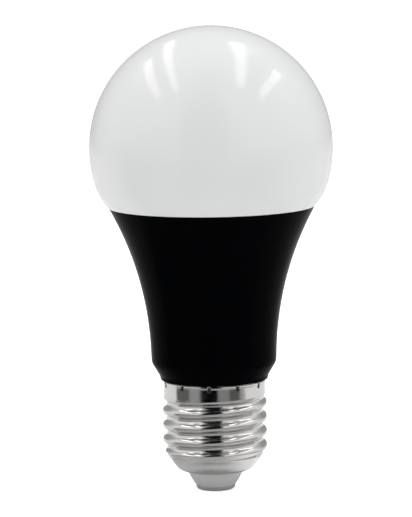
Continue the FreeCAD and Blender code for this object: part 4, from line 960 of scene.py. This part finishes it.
class BULB_OT_studio(BulbOperator, Operator):
    """Sets up the pale floor, the soft lamps and the camera"""

    bl_idname = "led_bulb.studio"
    bl_label = "Studio"

    def execute(self, context):
        settings = context.scene.bulb_studio
        self.camera(settings)
        self.floor(settings)
        self.room(settings)
        for card in CARDS:
            self.card(*card)
        for strip in STRIPS:
            self.strip(*strip)
        for lamp in LAMPS:
            self.lamp(*lamp)
        self.lamp("overhead", (0, 0, 1.2), (1.2, 1.2), settings.overhead, (0, 0, 0))
        return {"FINISHED"}

    def camera(self, settings):
        """Camera at the photograph's place, lens and lean."""
        camera = bpy.data.cameras.new("camera")
        camera.lens = settings.lens
        camera.clip_start = 0.05
        camera.clip_end = 50
        made = bpy.data.objects.new("camera", camera)
        bpy.context.scene.collection.objects.link(made)
        place = Matrix.Translation((settings.sideways, -settings.distance, settings.height))
        tilt = Matrix.Rotation(pi / 2 - settings.pitch, 4, "X")
        lean = Matrix.Rotation(settings.roll, 4, "Z")
        made.matrix_world = place @ tilt @ lean
        bpy.context.scene.camera = made

    def floor(self, settings):
        """Pale floor that shows white round the bulb and keeps its shadow."""
        bpy.ops.object.select_all(action="DESELECT")
        bpy.ops.mesh.primitive_plane_add(size=FLOOR_SIZE, location=(0, 0, 0))
        floor = bpy.context.object
        floor.name = "floor"
        tree = self.bare_material(floor, "pale floor")
        paper = node(tree, "ShaderNodeBsdfDiffuse", {"Color": opaque(settings.floor)})
        seen = node(tree, "ShaderNodeLightPath").outputs["Is Camera Ray"]
        strength = maths(tree, "MULTIPLY", seen, settings.glow)
        glow = node(tree, "ShaderNodeEmission", {"Color": opaque(WHITE), "Strength": strength})
        added = node(tree, "ShaderNodeAddShader", {0: paper.outputs[0], 1: glow.outputs[0]})
        node(tree, "ShaderNodeOutputMaterial", {"Surface": added.outputs[0]})

    def bare_material(self, piece, name):
        """Gives a piece of the stage a material with no nodes yet."""
        material = bpy.data.materials.new(name)
        material.use_nodes = True
        material.node_tree.nodes.clear()
        piece.data.materials.append(material)
        return material.node_tree

    def card(self, name, reach, start, end, left_level, right_level, rings=(), turns=()):
        """A glowing card between two angles round the cap, seen by shiny surfaces only, as a painted
        reflection.
        """
        near, far = reach
        bpy.ops.object.select_all(action="DESELECT")
        bpy.ops.mesh.primitive_plane_add(size=1, location=(0, 0, 0))
        card = bpy.context.object
        card.name = name
        bpy.ops.object.mode_set(mode="EDIT")
        bpy.ops.mesh.subdivide(number_cuts=CARD_CUTS)
        bpy.ops.object.mode_set(mode="OBJECT")
        for vertex in card.data.vertices:
            angle = radians(start + (end - start) * (vertex.co.x + 0.5))
            out = near + (far - near) * (vertex.co.y + 0.5)
            vertex.co = (out * sin(angle), -out * cos(angle), CARD_HEIGHT)
        tree = self.bare_material(card, name)
        place = node(tree, "ShaderNodeTexCoord").outputs["Object"]
        across = node(tree, "ShaderNodeSeparateXYZ", {0: place}).outputs["X"]
        level = ranged(tree, across, left_level, right_level, -far, far)
        if rings:
            level = maths(tree, "MULTIPLY", level, self.ringed(tree, place, across, rings))
        if turns:
            level = maths(tree, "MULTIPLY", level, self.turned(tree, place, across, turns))
        # The card glows at its set level and is never lit, so shiny surfaces mirror a painted reflection, not
        # the floor and its shadow.
        grey = node(tree, "ShaderNodeEmission", {"Color": opaque(WHITE), "Strength": level})
        node(tree, "ShaderNodeOutputMaterial", {"Surface": grey.outputs[0]})
        card.visible_camera = False
        card.visible_diffuse = False
        card.visible_shadow = False

    def ringed(self, tree, place, across, rings):
        """A card's share of its level by distance from the bulb, fading to 1 at the left and right."""
        distance = node(tree, "ShaderNodeVectorMath", {0: place}, operation="LENGTH").outputs["Value"]
        dip = maths(tree, "SUBTRACT", 1.0, stepped(tree, distance, rings))
        fade = ranged(tree, maths(tree, "ABSOLUTE", across), 1.0, 0.0, *RINGS_FADE)
        return maths(tree, "SUBTRACT", 1.0, maths(tree, "MULTIPLY", dip, fade))

    def turned(self, tree, place, across, turns):
        """A card's share of its level by the angle from the front, in degrees."""
        back = node(tree, "ShaderNodeSeparateXYZ", {0: place}).outputs["Y"]
        angle = maths(tree, "ARCTAN2", across, maths(tree, "MULTIPLY", back, -1.0))
        angle = maths(tree, "MULTIPLY", angle, 180 / pi)
        return stepped(tree, angle, turns)

    def room(self, settings):
        """White surroundings for the camera, even ones for soft light, and walls for reflections."""
        world = bpy.data.worlds.new("room")
        bpy.context.scene.world = world
        world.use_nodes = True
        tree = world.node_tree
        tree.nodes.clear()
        direction = node(tree, "ShaderNodeTexCoord").outputs["Generated"]
        parts = node(tree, "ShaderNodeSeparateXYZ", {0: direction}).outputs
        walls = ranged(tree, parts["Y"], settings.sides, settings.backdrop, *BACK_WALL)
        under_ceiling = ranged(tree, parts["Z"], 1.0, 0.0, *CEILING)
        above = maths(tree, "MULTIPLY", maths(tree, "SUBTRACT", 1.0, under_ceiling), settings.ceiling)
        turn = maths(tree, "ARCTAN2", parts["X"], maths(tree, "MULTIPLY", parts["Y"], -1.0))
        past_left = ranged(tree, turn, 0.0, 1.0, *DARK_LEFT)
        past_right = ranged(tree, turn, 1.0, 0.0, *DARK_RIGHT)
        in_front = maths(tree, "MULTIPLY", past_left, past_right)
        lit = ranged(tree, in_front, 1.0, settings.dark, 0.0, 1.0)
        round_about = maths(tree, "MULTIPLY", walls, under_ceiling)
        room = maths(tree, "MULTIPLY", maths(tree, "ADD", round_about, above), lit)
        path = node(tree, "ShaderNodeLightPath").outputs
        shiny = maths(tree, "MAXIMUM", path["Is Glossy Ray"], path["Is Transmission Ray"])
        for_shiny = maths(tree, "MULTIPLY", shiny, maths(tree, "SUBTRACT", room, settings.fill))
        other = maths(tree, "ADD", for_shiny, settings.fill)
        strength = maths(tree, "MAXIMUM", path["Is Camera Ray"], other)
        sky = node(tree, "ShaderNodeBackground", {"Color": opaque(WHITE), "Strength": strength})
        node(tree, "ShaderNodeOutputWorld", {"Surface": sky.outputs[0]})

    def lamp(self, name, place, size, power, aim):
        """A soft rectangular lamp that looks at a point and shows in no reflection."""
        towards = Vector(aim) - Vector(place)
        made = self.light(name, place, size, power, towards.to_track_quat("-Z", "Y").to_euler())
        made.visible_glossy = False

    def strip(self, name, across_front, across_back, depth_front, depth_back, width, radiance):
        """A long strip lamp overhead that runs from front to back."""
        front = Vector((across_front, depth_front, STRIP_HEIGHT))
        back = Vector((across_back, depth_back, STRIP_HEIGHT))
        middle = (front + back) / 2
        run = back - front
        lean = atan2(middle.x, STRIP_HEIGHT)
        turn = Matrix.Rotation(atan2(-run.x, run.y), 3, "Z") @ Matrix.Rotation(lean, 3, "Y")
        power = radiance * pi * width * run.length
        self.light(name, middle, (width, run.length), power, turn.to_euler())

    def light(self, name, place, size, power, turn):
        """A rectangular lamp."""
        light = bpy.data.lights.new(name, "AREA")
        light.shape = "RECTANGLE"
        light.size, light.size_y = size
        light.energy = power
        made = bpy.data.objects.new(name, light)
        bpy.context.scene.collection.objects.link(made)
        made.location = place
        made.rotation_euler = turn
        return made


OPERATORS = (
    BULB_OT_globe,
    BULB_OT_housing,
    BULB_OT_cap,
    BULB_OT_heat_sink,
    BULB_OT_led_board,
    BULB_OT_driver_board,
    BULB_OT_small_parts,
    BULB_OT_coils,
    BULB_OT_capacitors,
    BULB_OT_wires,
    BULB_OT_studio,
)


class BULB_PT_workshop(Panel):
    """Lists the bulb's operators and settings"""

    bl_idname = "BULB_PT_workshop"
    bl_label = "LED Bulb"
    bl_space_type = "VIEW_3D"
    bl_region_type = "UI"
    bl_category = "LED Bulb"

    def draw(self, context):
        layout = self.layout
        for operator in OPERATORS:
            layout.operator(operator.bl_idname)
        for key, group in SETTINGS.items():
            column = layout.column(heading=key.replace("bulb_", "").title())
            for name in group.__annotations__:
                column.prop(getattr(context.scene, key), name)


CLASSES = (*SETTINGS.values(), *OPERATORS, BULB_PT_workshop)


def register():
    for cls in CLASSES:
        bpy.utils.register_class(cls)
    for key, group in SETTINGS.items():
        setattr(bpy.types.Scene, key, PointerProperty(type=group))


def unregister():
    for key in SETTINGS:
        delattr(bpy.types.Scene, key)
    for cls in reversed(CLASSES):
        bpy.utils.unregister_class(cls)


def main():
    """Builds the scene."""
    register()
    bpy.context.scene.view_settings.view_transform = "Standard"
    for operator in OPERATORS:
        group, name = operator.bl_idname.split(".")
        getattr(getattr(bpy.ops, group), name)()


if __name__ == "__main__":
    main()
